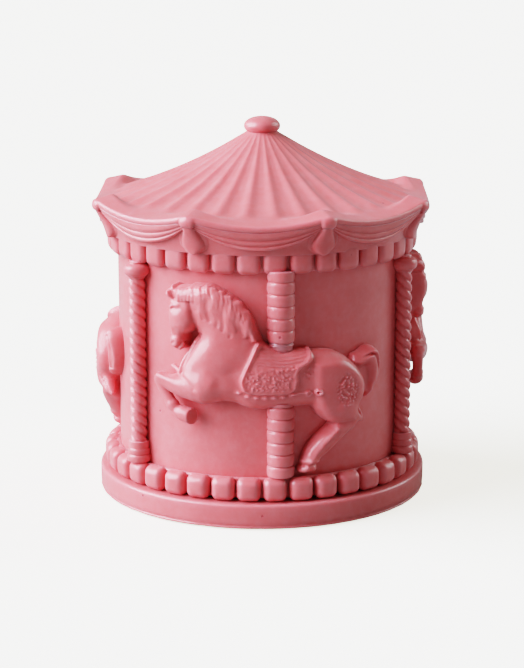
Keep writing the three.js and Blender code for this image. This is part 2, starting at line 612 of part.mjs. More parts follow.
function link(a, b) {
  const sides = 7;
  const way = new THREE.Vector2(b[0] - a[0], b[1] - a[1]);
  const length = way.length();
  way.normalize();
  const sections = [[-a[3] * 0.85, 0.45], [0, 1], [length, 1], [length + b[3] * 0.85, 0.45]];
  return cappedSkin(
    sections.map(([along, scale]) => {
      const t = Math.min(1, Math.max(0, along / length));
      const [out, half, depth] = [2, 3, 4].map((k) => mix(a[k], b[k], t));
      return range(sides).map((k) => {
        const turn = (2 * Math.PI * k) / sides;
        const across = half * scale * Math.cos(turn);
        const flat = [a[0] + way.x * along - way.y * across, a[1] + way.y * along + way.x * across];
        return bent(...flat, out + depth * scale * Math.sin(turn));
      });
    }),
  );
}

function horse() {
  const links = HORSE.flatMap((balls) => balls.slice(1).map((ball, i) => link(balls[i], ball)));
  return together(...links).subtract(againstDrum).subtract(poleRod(POLE.r + GAP, [0, 100]));
}

// ---------------------------------------------------------------- assembly
const musicBox = new THREE.Group();

const fixed = group(musicBox);
addPlinth(fixed);
addMountingPlate(fixed);
addBedplate(fixed);
addComb(fixed);
addBearings(fixed);
addClutchSpring(fixed);

addWinding(group(musicBox));
addCylinder(lyingGroup(musicBox, [0, 0, AXIS_Z]));
addGovernorWheel(lyingGroup(musicBox, [0, TRAIN_Y, AXIS_Z]));
place(musicBox, "governor_fly", governorFly(), NYLON, [WORM.x, WORM_Y, 0]);

const carousel = group(musicBox);
addBarrel(carousel);
addDrive(carousel);
place(carousel, "drum", drum(), CAST);
place(carousel, "lower_block_ring", blockRing(LOWER_BLOCKS), CAST);
place(carousel, "upper_block_ring", blockRing(UPPER_BLOCKS), CAST);
place(carousel, "valance", valance(), CAST);
place(carousel, "roof", roof(), CAST);
place(carousel, "finial", finial(), CAST);

const horsePole = poleRod(POLE.r, POLE.z).subtract(againstDrum);
const reliefHorse = horse();
range(HORSES).forEach((i) => {
  const azimuth = HORSE_PHASE + (360 * i) / HORSES;
  const between = azimuth + 180 / HORSES;
  const origin = [0, 0, 0];
  place(carousel, `horse_pole_${i + 1}`, horsePole, CAST, origin, azimuth);
  place(carousel, `horse_${i + 1}`, reliefHorse, CAST, origin, azimuth);
  place(carousel, `column_${i + 1}`, columnShaft, CAST, origin, between);
  place(carousel, `column_foot_${i + 1}`, columnFoot, CAST, origin, between);
  place(carousel, `column_head_${i + 1}`, columnHead, CAST, origin, between);
});

export default musicBox;
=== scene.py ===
import json
import math
from itertools import product

import bpy
import numpy as np
from mathutils import Matrix, Vector


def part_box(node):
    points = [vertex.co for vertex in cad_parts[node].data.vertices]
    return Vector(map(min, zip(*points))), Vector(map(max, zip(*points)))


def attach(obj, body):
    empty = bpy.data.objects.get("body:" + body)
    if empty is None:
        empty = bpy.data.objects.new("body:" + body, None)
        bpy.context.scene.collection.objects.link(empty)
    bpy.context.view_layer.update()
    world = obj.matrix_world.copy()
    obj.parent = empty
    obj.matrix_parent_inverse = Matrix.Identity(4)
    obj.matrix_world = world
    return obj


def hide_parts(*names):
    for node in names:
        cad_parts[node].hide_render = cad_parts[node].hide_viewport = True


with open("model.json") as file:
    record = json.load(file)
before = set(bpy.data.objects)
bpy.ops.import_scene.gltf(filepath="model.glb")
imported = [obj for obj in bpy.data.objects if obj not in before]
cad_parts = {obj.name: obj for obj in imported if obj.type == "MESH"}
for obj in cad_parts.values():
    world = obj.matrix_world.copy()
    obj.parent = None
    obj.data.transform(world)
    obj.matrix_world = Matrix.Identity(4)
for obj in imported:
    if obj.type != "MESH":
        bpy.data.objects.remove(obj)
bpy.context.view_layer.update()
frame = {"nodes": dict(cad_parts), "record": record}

nodes = frame["nodes"]

# Sizes are in mm and follow the CAD; piece() turns them into metres. Azimuths are in degrees from the front,
# positive to the right.
MM = 0.001
HORSES = 3
HORSE_PHASE = 7.0

BASE_R = 52.0
PLINTH_Z = (0.4, 7.9)
RECESS_R = 35.5
COLLAR_R, COLLAR_TOP = 41.8, 12
FELT_GROOVE, FELT_GROOVE_TOP = (46.2, 50.8), 1.3
GLIDE_GROOVE, GLIDE_GROOVE_FOOT = (42.8, 45.4), 6.8
FELT_R, FELT_T = (46.6, 50.4), 1.0

DRUM_R, DRUM_IN = 45.5, 42.7
DRUM_Z = (8.4, 89.5)
BACK_R = 45.3  # radius at which what is glued on the drum ends, just inside its face

BLOCKS = 38
BAND_R = 46.9  # the low band that joins the blocks of a ring
LOWER_BLOCKS = {"low": 7.97, "high": 15.45, "outer": 50.3, "share": 0.93, "radius": (2.1, 2.4, 2.2),
                "bulge": 0.35, "seed": 11}
UPPER_BLOCKS = {"low": 77.7, "high": 84.6, "outer": 48.75, "share": 0.92, "radius": (1.9, 1.9, 2.4),
                "bulge": 0.25, "seed": 12, "above": 2.2}

BAYS, BAY_PHASE = 8, -1.4  # scallops of the roof's edge, and the azimuth of the front one's middle
EAR_R, BAY_R, EAR_LIFT = 55.2, 52.5, 3.6  # edge at the upturned tips and between them, and the upturn
LIFT_R = (45.2, 49.6)  # radii between which the roof takes up that lift
LIP_T, LIP_IN = 2.1, 0.85  # the rolled lip: its thickness, and how far in it begins
TENT_R = 49.2  # where the tent ends and its upturned edge begins
ROOF_T = 2.4
ROOF_TOP_R, ROOF_TOP_Z, ROOF_DROP = 6.0, 113.2, 20.4
FLUTES = 32
VALANCE_IN, VALANCE_FOOT_R, VALANCE_FOOT_Z = 45.9, 48.9, 83.7
FINIAL_R, FINIAL_HALF, FINIAL_Z = 5.7, 3.02, 115.68
PEG_R, PEG_Z = 1.95, (110.6, 112.6)

POLE_CENTRE, COLUMN_CENTRE = 46.2, 47.6
RING_PITCH = 3.69  # of the rings on the horse poles
LOW_STACK, HIGH_STACK = (15.3, 38.5), (57.0, 79.0)  # heights of the rings below and above the horse
ROPE_Z, ROPE_R, STRAND = (20.5, 74.5), 1.95, 0.68
TWIST = math.pi / 3.1  # of the rope columns, in radians per mm

SHARPNESS = "sharpness"  # attribute that says how far the surface bends at each vertex


# ---------------- materials
def new_material(name):
    material = bpy.data.materials.new(name)
    material.use_nodes = True
    tree = material.node_tree
    where = tree.nodes.new("ShaderNodeTexCoord").outputs["Object"]
    return material, tree, where


def give(tree, socket, value):
    """Links a socket to another node's output, or sets it."""
    if isinstance(value, bpy.types.NodeSocket):
        tree.links.new(value, socket)
    else:
        socket.default_value = (*value, 1) if socket.type == "RGBA" else value


def set_shader(tree, values):
    """Fills in the shader's own sockets."""
    for name, value in values.items():
        give(tree, tree.nodes["Principled BSDF"].inputs[name], value)


def node(tree, kind, **values):
    """A node with values for its inputs and its other settings."""
    made = tree.nodes.new(kind)
    for name, value in values.items():
        if name in made.inputs:
            give(tree, made.inputs[name], value)
        else:
            setattr(made, name, value)
    return made


def noise(tree, where, scale, detail, rough):
    made = node(tree, "ShaderNodeTexNoise", Vector=where, Scale=scale, Detail=detail, Roughness=rough)
    return made.outputs["Fac"]


def ramp(tree, fac, stops):
    made = node(tree, "ShaderNodeValToRGB", Fac=fac)
    elements = made.color_ramp.elements
    while len(elements) < len(stops):
        elements.new(0.5)
    for element, (at, color) in zip(elements, stops):
        element.position = at
        element.color = (*color, 1)
    return made.outputs["Color"]


def span(tree, fac, low, high, a=0.0, b=1.0):
    """fac from low to high stretched to a to b, and no further."""
    made = node(tree, "ShaderNodeMapRange")
    for socket, value in zip(made.inputs, (fac, low, high, a, b)):
        give(tree, socket, value)
    return made.outputs[0]


def blend(tree, mode, fac, first, second):
    made = node(tree, "ShaderNodeMix", data_type="RGBA", blend_type=mode)
    for socket, value in ((0, fac), (6, first), (7, second)):
        give(tree, made.inputs[socket], value)
    return made.outputs[2]


def maths(tree, operation, a, b):
    made = node(tree, "ShaderNodeMath", operation=operation)
    give(tree, made.inputs[0], a)
    give(tree, made.inputs[1], b)
    return made.outputs[0]


def both(tree, first, share, second):
    """So much of the first, and the rest of the second."""
    rest = maths(tree, "MULTIPLY", second, 1 - share)
    return maths(tree, "ADD", maths(tree, "MULTIPLY", first, share), rest)


def relief_of(tree, layers):
    """A normal from layers of (height, distance in metres, strength) laid over each other."""
    last = {}
    for height, distance, strength in layers:
        made = node(tree, "ShaderNodeBump", Distance=distance, Strength=strength, Height=height, **last)
        last = {"Normal": made.outputs["Normal"]}
    return last["Normal"]


def pits(tree, where, scale, size, share):
    """1 in small round pits, one in some of the cells of a grid, 0 elsewhere."""
    cells = node(tree, "ShaderNodeTexVoronoi", Vector=where, Scale=scale)
    hole = span(tree, cells.outputs["Distance"], size * 0.45, size, 1, 0)
    chosen = node(tree, "ShaderNodeSeparateColor", Color=cells.outputs["Color"])
    return maths(tree, "MULTIPLY", hole, maths(tree, "LESS_THAN", chosen.outputs[0], share))


def cast_material():
    """Satin pink cast resin: mottling, edges paler by wear and painted highlight, hollows and air pits with
    painted shade.
    """
    material, tree, where = new_material("cast")
    pinks = [(0.3, (0.655, 0.162, 0.154)), (0.52, (0.7, 0.182, 0.174)), (0.74, (0.735, 0.208, 0.2))]
    # The redder colour below is painted shade for hollows and creases; the darkest one is painted shade
    # inside the air pits.
    worn_and_highlit_edge, painted_shade_red, painted_pit_shade = (0.84, 0.42, 0.46), (0.5, 0.07, 0.06), (0.34, 0.045, 0.05)
    mottle = ramp(tree, noise(tree, where, 55, 4, 0.6), pinks)
    bloom = ramp(tree, noise(tree, where, 420, 5, 0.65), [(0.42, (0, 0, 0)), (0.78, (0.34, 0.34, 0.34))])
    color = blend(tree, "SCREEN", 0.12, mottle, bloom)
    shape = node(tree, "ShaderNodeAttribute", attribute_name=SHARPNESS).outputs["Fac"]
    # The pits are real dents in the bump below; the darker colour inside them is painted shade.
    air = pits(tree, where, 190, 0.1, 0.1)
    # Raised edges turn paler, partly as wear and partly as a painted highlight.
    for fac, most, other in ((span(tree, shape, 0.005, 0.1), 0.42, worn_and_highlit_edge),
                             (span(tree, shape, -0.005, -0.1), 0.55, painted_shade_red), (air, 0.6, painted_pit_shade)):
        color = blend(tree, "MIX", maths(tree, "MULTIPLY", fac, most), color, other)
    grain = [(noise(tree, where, 110, 2, 0.5), 0.0006, 0.22),
             (noise(tree, where, 1500, 4, 0.6), 0.00008, 0.16),
             (maths(tree, "SUBTRACT", 1, air), 0.0003, 0.7)]
    set_shader(tree, {
        "Base Color": color, "Roughness": span(tree, noise(tree, where, 90, 4, 0.6), 0.3, 0.7, 0.4, 0.52),
        "Subsurface Weight": 0.4, "Subsurface Radius": (1.0, 0.3, 0.26), "Subsurface Scale": 0.0026,
        "Specular IOR Level": 0.4, "Coat Weight": 0.5, "Coat Roughness": 0.12, "Sheen Weight": 0.1,
        "Sheen Roughness": 0.5, "Normal": relief_of(tree, grain)})
    return material


def metal_material(name, dark, light, rough, streak=(1, 1, 1), grain=1600):
    """Machined, plated or cast metal, its grain stretched along the axis with the smallest streak."""
    material, tree, where = new_material(name)
    stretch = node(tree, "ShaderNodeMapping", Vector=where, Scale=streak)
    fine = noise(tree, stretch.outputs[0], grain, 4, 0.6)
    tarnish = noise(tree, where, 130, 4, 0.6)
    mixed = both(tree, fine, 0.45, tarnish)
    set_shader(tree, {
        "Base Color": ramp(tree, mixed, [(0.32, dark), (0.66, light)]), "Metallic": 1,
        "Roughness": span(tree, mixed, 0.3, 0.7, rough + 0.12, rough - 0.05),
        "Normal": relief_of(tree, [(fine, 0.00004, 0.35), (tarnish, 0.0001, 0.15)])})
    return material


def plain_material(name, dark, light, rough, grain, depth, fleck=None, sheen=0):
    """Nylon, hardboard or felt: a colour that varies with a fine grain and a coarse one."""
    material, tree, where = new_material(name)
    fine = noise(tree, where, grain, 5, 0.7)
    coarse = noise(tree, where, grain / 9, 4, 0.6)
    color = ramp(tree, both(tree, fine, 0.6, coarse), [(0.36, dark), (0.64, light)])
    if fleck:
        spots = span(tree, noise(tree, where, grain * 0.6, 2, 0.5), 0.66, 0.72)
        color = blend(tree, "MIX", maths(tree, "MULTIPLY", spots, 0.7), color, fleck)
    set_shader(tree, {
        "Base Color": color, "Roughness": span(tree, fine, 0.3, 0.7, rough - 0.08, rough + 0.06),
        "Sheen Weight": sheen, "Sheen Roughness": 0.5,
        "Normal": relief_of(tree, [(fine, depth, 0.6), (coarse, depth * 2, 0.3)])})
    return material


by_slot = {
    "cast": cast_material(),
    "brass": metal_material("brass", (0.56, 0.37, 0.11), (0.83, 0.62, 0.26), 0.3, (0.15, 1, 1)),
    "steel": metal_material("steel", (0.42, 0.42, 0.43), (0.72, 0.72, 0.73), 0.26, (1, 1, 0.2)),
    "zinc": metal_material("zinc", (0.3, 0.31, 0.32), (0.5, 0.51, 0.52), 0.48, grain=900),
    "nylon": plain_material("nylon", (0.72, 0.7, 0.62), (0.84, 0.82, 0.75), 0.42, 700, 0.00004),
    "board": plain_material("board", (0.075, 0.052, 0.04), (0.15, 0.108, 0.082), 0.62, 900, 0.0001,
                            (0.24, 0.18, 0.13)),
    "felt": plain_material("felt", (0.6, 0.52, 0.49), (0.76, 0.69, 0.65), 0.9, 1900, 0.0003, sheen=0.6)}
for part in frame["record"]["subparts"]:
    data = nodes[part["node"]].data
    data.materials.clear()
    data.materials.append(by_slot[part["material_slot"]])


# ---------------- mesh helpers
def unit(t):
    return np.clip(t, 0, 1)


def smooth(t):
    """0 to 1 with a soft start and end."""
    t = unit(t)
    return t * t * (3 - 2 * t)


def mix(a, b, t):
    return a + (b - a) * t


def signed_volume(points, faces):
    a, b, c, d = (points[faces[:, k]] for k in range(4))
    return float(np.sum(a * np.cross(b, c)) + np.sum(a * np.cross(c, d)))


def read(items, name, width, kind=float):
    """One property of all of a mesh's vertices or edges."""
    values = np.empty(len(items) * width, kind)
    items.foreach_get(name, values)
    return values.reshape(-1, width)


def mark_sharpness(mesh):
    """Stores how far the surface bends at each vertex, above 0 on raised edges and below 0 in hollows:
    Blender's own Pointiness draws false seams on these meshes."""
    place = read(mesh.vertices, "co", 3)
    normal = read(mesh.vertex_normals, "vector", 3)
    edges = read(mesh.edges, "vertices", 2, int)
    start, end = np.concatenate([edges, edges[:, ::-1]]).T
    way = place[end] - place[start]
    way /= np.maximum(np.linalg.norm(way, axis=1, keepdims=True), 1e-12)
    number = np.bincount(start)
    sharp = -np.bincount(start, np.sum(way * normal[start], 1)) / number / math.pi
    spread = (sharp + np.bincount(start, sharp[end])) / (number + 1)
    mesh.attributes.new(SHARPNESS, "FLOAT", "POINT").data.foreach_set("value", spread)


def piece(name, points, faces, body, replaced, slot="cast", turn=0.0):
    """A closed piece from points in mm and quads; a triangle repeats its last corner. The turn, in degrees,
    goes into the mesh, because the object stays at the origin."""
    points, faces = np.asarray(points, float), np.asarray(faces, int)
    if signed_volume(points, faces) < 0:
        faces = faces[:, ::-1]
    rows = [[v for k, v in enumerate(face) if v != face[k - 1]] for face in faces.tolist()]
    mesh = bpy.data.meshes.new(name)
    mesh.from_pydata((points * MM).tolist(), [], rows)
    mesh.polygons.foreach_set("use_smooth", np.ones(len(mesh.polygons), bool))
    mesh.materials.append(by_slot[slot])
    mesh.transform(Matrix.Rotation(math.radians(turn), 4, "Z"))
    mesh.update()
    mark_sharpness(mesh)
    return show(name, mesh, body, replaced)


def show(name, mesh, body, replaced):
    """Puts a mesh on a body, in place of the CAD nodes that it replaces."""
    made = bpy.data.objects.new(name, mesh)
    bpy.context.scene.collection.objects.link(made)
    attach(made, body)
    if replaced:
        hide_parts(*replaced)
    return made


def grid_faces(rows, columns, closed_rows):
    """Quads of a grid that is closed round its columns, and round its rows too if asked."""
    i, j = np.meshgrid(np.arange(rows if closed_rows else rows - 1), np.arange(columns), indexing="ij")
    i2, j2 = (i + 1) % rows, (j + 1) % columns
    quads = np.stack([i * columns + j, i2 * columns + j, i2 * columns + j2, i * columns + j2], -1)
    return quads.reshape(-1, 4)


def round_body(R, Z, azimuths):
    """Body from rows of radii and heights: capped where it starts on the axis, else a ring."""
    a = np.radians(azimuths)[None, :]
    R, Z = np.broadcast_arrays(R, Z)
    points = np.stack([R * np.sin(a), -R * np.cos(a), Z], -1)
    rows, columns = R.shape
    if R[0].max() > 1e-6:
        return points.reshape(-1, 3), grid_faces(rows, columns, True)
    return capped(points)


def capped(points):
    """Rows of points whose first and last row are each closed by one point at its middle."""
    rows, columns = points.shape[:2]
    body = points[1:-1].reshape(-1, 3)
    ends = np.stack([points[0].mean(0), points[-1].mean(0)])
    n, j = (rows - 2) * columns, np.arange(columns)
    j2, last = (j + 1) % columns, (rows - 3) * columns
    lid = np.stack([np.full(columns, n), j, j2, j2], -1)
    foot = np.stack([last + j, np.full(columns, n + 1), last + j2, last + j2], -1)
    faces = np.concatenate([grid_faces(rows - 2, columns, False), lid, foot])
    return np.concatenate([body, ends]), faces


def rounded(corners, radius, steps=4):
    """Closed outline whose corners are rounded by up to radius."""
    corners = [np.array(c, float) for c in corners]
    out = []
    for k, here in enumerate(corners):
        before, after = corners[k - 1], corners[(k + 1) % len(corners)]
        ends = []
        for other in (before, after):
            way = other - here
            length = np.linalg.norm(way)
            ends.append(here + way / length * min(radius, 0.45 * length))
        for t in np.linspace(0, 1, steps):
            out.append((1 - t) ** 2 * ends[0] + 2 * t * (1 - t) * here + t * t * ends[1])
    return np.array(out)


def wobble(a, z, size, seed):
    """Slow unevenness of a casting over azimuth and height."""
    r = np.random.default_rng(seed)
    total = 0
    for n in (2, 3, 5, 8, 13):
        total = total + np.sin(np.radians(a) * n + r.uniform(0, 6.28) + z * r.uniform(-0.12, 0.12)) / n
    return size * total


def join(*bodies):
    """One body of several (points, faces) pairs."""
    points, faces, start = [], [], 0
    for p, f in bodies:
        points.append(p)
        faces.append(f + start)
        start += len(p)
    return np.concatenate(points), np.concatenate(faces)


# ---------------- plinth, felt, drum and blocks
def around(count):
    return np.arange(count) * 360 / count


def spun(profile, count):
    """Radii and heights of a profile at that many azimuths, and the azimuths."""
    R = np.repeat(profile[:, :1], count, 1)
    Z = np.repeat(profile[:, 1:], count, 1)
    return R, Z, around(count)


def stacked(rows, a):
    """Radii and heights of rows that are each the same all round or given at each azimuth."""
    return np.moveaxis([np.broadcast_arrays(*row, a)[:2] for row in rows], 1, 0)


def lathe(profile, count, size=0.0, seed=1):
    """A profile turned round the axis, its outer face uneven by about size."""
    R, Z, a = spun(profile, count)
    if size:
        R = R + np.where(R > 40, wobble(a, Z, size, seed), 0)
    return round_body(R, Z, a)


def dense(profile, step):
    """Profile with points added so that none of its edges is longer than step."""
    out = []
    for k, here in enumerate(profile):
        after = profile[(k + 1) % len(profile)]
        n = max(1, int(np.ceil(np.linalg.norm(after - here) / step)))
        out += [here + (after - here) * i / n for i in range(n)]
    return np.array(out)


def frame_profile(inner, outer, low, high):
    return [(inner, low), (outer, low), (outer, high), (inner, high)]


def plinth():
    """Plinth with the felt's groove below, the glide ring's groove above and a collar inside it."""
    low, high = PLINTH_Z
    corners = [
        (RECESS_R, low), (FELT_GROOVE[0], low), (FELT_GROOVE[0], FELT_GROOVE_TOP),
        (FELT_GROOVE[1], FELT_GROOVE_TOP), (FELT_GROOVE[1], low),
        (BASE_R - 0.25, low), (BASE_R - 0.05, low + 0.45), (BASE_R - 0.3, low + 0.85), (BASE_R, low + 1.8),
        (BASE_R, high), (GLIDE_GROOVE[1], high), (GLIDE_GROOVE[1], GLIDE_GROOVE_FOOT),
        (GLIDE_GROOVE[0], GLIDE_GROOVE_FOOT), (GLIDE_GROOVE[0], high), (COLLAR_R, high),
        (COLLAR_R, COLLAR_TOP), (RECESS_R, COLLAR_TOP)]
    R, Z, a = spun(dense(rounded(corners, 0.9), 1.6), 300)
    flash = np.random.default_rng(4).uniform(-1, 1, len(a))
    flash = np.convolve(np.r_[flash, flash, flash], np.ones(3) / 3, "same")[len(a):2 * len(a)]
    ragged = (R > BASE_R - 0.8) & (Z < 1.2)
    R = R + np.where(R > BASE_R - 1, wobble(a, Z, 0.07, 2), 0) + np.where(ragged, 0.16 * flash, 0)
    return round_body(np.minimum(R, BASE_R + 0.25), Z, a)


def felt():
    """Felt ring with a slightly fuzzy skin."""
    R, Z, a = spun(dense(rounded(frame_profile(*FELT_R, 0, FELT_T), 0.35, 3), 0.5), 360)
    fuzz = np.random.default_rng(5).uniform(-1, 1, (2, *R.shape))
    side = np.where(R > sum(FELT_R) / 2, 1, -1)
    return round_body(R + 0.05 * fuzz[0] * side, np.clip(Z + 0.04 * fuzz[1], 0, FELT_T + 0.05), a)


def box_body(low, high, radius, bulge=0.0, count=8):
    """Rounded box in (along, out, up): six gridded sides that share edges. bulge swells the out side."""
    low, high = np.array(low, float), np.array(high, float)
    middle, half = (low + high) / 2, (high - low) / 2
    index = np.arange(count ** 3).reshape(count, count, count)
    faces = []
    for axis, side in product(range(3), (0, -1)):
        sheet = np.moveaxis(index, (axis, (axis + 1) % 3, (axis + 2) % 3), (0, 1, 2))[side]
        quads = np.stack([sheet[:-1, :-1], sheet[1:, :-1], sheet[1:, 1:], sheet[:-1, 1:]], -1).reshape(-1, 4)
        faces.append(quads if side else quads[:, ::-1])
    used, faces = np.unique(np.concatenate(faces), return_inverse=True)
    q = np.linspace(-1, 1, count)[np.stack(np.unravel_index(used, index.shape), -1)]
    radius = np.minimum(np.broadcast_to(radius, 3), half * 0.98)
    place = q * half
    core = np.clip(place, radius - half, half - radius)
    way = (place - core) / radius
    length = np.maximum(np.linalg.norm(way, axis=1, keepdims=True), 1e-9)
    reach = np.max(np.abs(way), axis=1, keepdims=True)
    place = core + way / length * reach * radius
    place[:, 1] += bulge * (1 - q[:, 0] ** 2) * (1 - q[:, 2] ** 2) * (q[:, 1] > 0.99)
    return place + middle, faces.reshape(-1, 4)


def on_ring(points, azimuth, radius):
    """Body in (along, out, up) bent round the axis: along is measured at that radius, out from the axis."""
    a = np.radians(azimuth) + points[:, 0] / radius
    r = points[:, 1]
    return np.stack([r * np.sin(a), -r * np.cos(a), points[:, 2]], -1)


def block_ring(low, high, outer, share, radius, bulge, seed, above=0.0):
    """A band and rounded blocks on it, each a share of its pitch wide, no two quite alike."""
    r = np.random.default_rng(seed)
    pitch = 2 * math.pi * outer / BLOCKS
    band = rounded(frame_profile(BACK_R, BAND_R, low + 0.5, high - 0.5), 0.6, 3)
    bodies = [lathe(dense(band, 1.2), 6 * BLOCKS)]
    for k in range(BLOCKS):
        half = pitch * share / 2 * r.uniform(0.975, 1.02)
        foot = (-half, BACK_R, low + r.uniform(-0.02, 0.12))
        top = (half, outer + r.uniform(-0.12, 0.05), high + above - r.uniform(0, 0.14))
        p, f = box_body(foot, top, radius, bulge, 13)
        bodies.append((on_ring(p, (k + 0.5) * 360 / BLOCKS + r.uniform(-0.15, 0.15), outer), f))
    return join(*bodies)


def drum():
    """The drum's wall and the lugs inside it that the drive plate is screwed to."""
    bodies = [lathe(dense(rounded(frame_profile(DRUM_IN, DRUM_R, *DRUM_Z), 0.5, 3), 2.0), 300, 0.045, 7)]
    lug, f = box_body((-5, 38, 45.6), (5, 43.6, 47.7), 0.6, 0, 6)
    for k in range(HORSES):
        bodies.append((on_ring(lug, HORSE_PHASE + 360 / HORSES * k, 40), f))
    return join(*bodies)


piece("plinth_cast", *plinth(), "base", ["plinth"])
felt_ring = piece("felt_ring", *felt(), "base", ["base_felt"], "felt")
piece("lower_blocks", *block_ring(**LOWER_BLOCKS), "carousel", ["lower_block_ring"])
piece("upper_blocks", *block_ring(**UPPER_BLOCKS), "carousel", ["upper_block_ring"])
piece("drum_wall", *drum(), "carousel", ["drum"])


# ---------------- roof, finial, valance
def bay_offset(azimuth):
    """-1 to 1 across a bay of the roof: 0 in its middle, 1 in size at the upturned tips."""
    bays = (azimuth - BAY_PHASE) * BAYS / 360
    return 2 * (bays - np.round(bays))


def tip_share(azimuth):
    """0 in the middle of a bay to 1 at its tips, which are rounded."""
    flat, soft = 0.035, 0.06
    away = 1 - np.abs(bay_offset(azimuth)) - flat
    away = (away + np.hypot(away, soft)) / 2
    return (1 - away / (1 - flat)).clip(0, 1) ** 2


def edge_r(azimuth):
    return mix(BAY_R, EAR_R, tip_share(azimuth))


def roof_z(r, azimuth):
    """Height of the roof's upper face: a tent that sags a little, lifted near the tips."""
    t = (r - ROOF_TOP_R) / (BAY_R - ROOF_TOP_R)
    tent = ROOF_TOP_Z - ROOF_DROP * (1.45 * t - 0.45 * t * t)
    lift = tip_share(azimuth)
    return tent + EAR_LIFT * lift * smooth((r - LIFT_R[0]) / (LIFT_R[1] - LIFT_R[0]))


def flute(r, azimuth):
    """Height of the roof's narrow ribs over broad shallow panels, fading out short of the edge."""
    first_rib = 5.0
    off = (azimuth - first_rib) * FLUTES / 360
    off = (off - np.round(off)) * 2
    rib = np.exp(-(off / 0.52) ** 2) + 0.1 * off ** 2
    size = 0.14 + 0.78 * smooth((r - 5) / 34)
    end = 1 - smooth((r - 43.6) / 4.2)
    start = smooth((r - 5) / 3)
    return size * (rib - 0.55) * end * start


def roof():
    """Fluted tent with an upturned edge, a rolled lip that thickens to a knob at each tip, and a hollow."""
    a = around(960) + BAY_PHASE + 180 / BAYS
    lip_r = edge_r(a) - LIP_IN
    rows = []
    for r in np.r_[2.3, 4.5, 6.0, np.arange(7.2, 44, 0.9), np.arange(44, TENT_R, 0.28)]:
        rows.append((r, roof_z(r, a) + flute(r, a)))
    for t in np.linspace(0.06, 1, 12):
        r = mix(TENT_R, lip_r, t)
        rows.append((r, roof_z(r, a)))
    upper = len(rows)
    tip_away = (1 - np.abs(bay_offset(a))) * math.radians(180 / BAYS) * EAR_R
    knob = unit(1 - (tip_away / 2.4) ** 4) ** 0.5
    middle_z = roof_z(lip_r, a) - LIP_T / 2
    for turn in np.linspace(15, 165, 9):
        s, c = math.sin(math.radians(turn)), math.cos(math.radians(turn))
        z = middle_z + LIP_T / 2 * c - 0.8 * knob * (1 - c)
        rows.append((lip_r + (LIP_IN + 0.55 * knob) * s, z))
    rows += [(edge_r(a) - 1.6, roof_z(edge_r(a) - 1.2, a) - LIP_T), (48.0, roof_z(47.8, a) - 2.7),
             (DRUM_R, DRUM_Z[1] + 0.3), (DRUM_IN, DRUM_Z[1] + 0.3)]
    rows += [(r, roof_z(r, 0) - ROOF_T) for r in (40.7, 30, 18)]
    rows += [(9, roof_z(9, 0) - ROOF_T - 0.2), (2.3, ROOF_TOP_Z - 3.2)]
    R, Z = stacked(rows, a)
    uneven = (R > 8) & (np.arange(len(rows)) < upper)[:, None]
    return round_body(R, Z + np.where(uneven, wobble(a, R, 0.05, 21), 0), a)


def finial():
    """Slightly lumpy flattened ball on a collar, with a peg into the roof."""
    ball = []
    for t in np.linspace(-90, 90, 29):
        z = FINIAL_Z + FINIAL_HALF * math.sin(math.radians(t))
        if z > ROOF_TOP_Z:
            ball.append((FINIAL_R * math.cos(math.radians(t)), z))
    ball[-1] = (0, ball[-1][1])
    stem = [(0, PEG_Z[0]), (PEG_R, PEG_Z[0]), (PEG_R, PEG_Z[1]), (4.6, 112.95), (5.3, 113.15)]
    R, Z, a = spun(np.array(stem + ball), 72)
    lump = 1 + 0.012 * np.sin(np.radians(a) * 3 + 1) + 0.008 * np.sin(np.radians(a) * 5)
    return round_body(np.where(R > 3, R * lump, R), Z, a)


def teardrop(across, down, top, long, wide):
    """Height 0 to 1 of a drop hanging from top: narrow above, round below."""
    s = unit((top - down) / long)
    half = mix(0.52, 1.0, smooth(s * 1.5)) * np.sqrt(unit(1 - unit((s - 0.66) / 0.34) ** 2))
    half = half * smooth((top + 0.6 - down) / 1.2)
    within = (top + 0.6 > down) & (down > top - long) & (half > 0.02)
    height = unit(1 - (np.abs(across) / (wide * np.maximum(half, 0.02))) ** 3) ** 0.5
    return np.where(within, height, 0)


def valance():
    """Flared band under the roof's edge: a folded swag in each bay, a knob and a tassel at each tip."""
    a = around(1440) + BAY_PHASE
    x = bay_offset(a)
    edge = edge_r(a)
    top_z = roof_z(edge - 1.2, a) - LIP_T - 0.02
    swag_foot = 85.3 + 7.6 * np.abs(x) ** 2.2
    swag_top = top_z - 0.1
    corner = (x - np.where(x < 0, -1, 1)) * 180 / BAYS * np.pi / 180 * 51.5  # mm round from the nearest tip
    rows = [(VALANCE_IN, VALANCE_FOOT_Z), (48.2, VALANCE_FOOT_Z - 0.02)]
    for s in np.linspace(0, 1, 58):
        z = mix(VALANCE_FOOT_Z, top_z, s)
        level = (swag_top - z) / np.maximum(swag_top - swag_foot, 0.3)
        fold = 0.72 + 0.28 * np.abs(np.sin(np.pi * (2.75 * unit(level) ** 1.5 + 0.25))) ** 0.8
        body = smooth((1.03 - level) / 0.07) * smooth((1.02 - np.abs(x)) / 0.09)
        swag = 1.75 * (1 - 0.4 * x * x) * fold * body
        back = 0.6 * teardrop(corner, z, 94.4, 10.7, 4.9)
        drop = 2.2 * teardrop(corner, z, 92.4, 8.8, 3.75)
        knob = 2.0 * unit(1 - (corner / 2.3) ** 4 - np.clip((z - 94.2) / 2.6, -2, 0) ** 2) ** 0.5
        flare = mix(VALANCE_FOOT_R, edge - 1.5, s ** 1.5)
        out = flare + np.maximum.reduce([swag, back, drop * (drop > back), knob])
        limit = edge - 0.25
        rows.append((limit - (limit - out + np.hypot(limit - out, 0.4)) / 2, z))
    rows += [(edge - 2.6, top_z + 0.25), (VALANCE_IN, DRUM_Z[1] - 0.1)]
    return round_body(*stacked(rows, a), a)


piece("roof_shell", *roof(), "carousel", ["roof"])
piece("finial_ball", *finial(), "carousel", ["finial"])
piece("valance_swags", *valance(), "carousel", ["valance"])


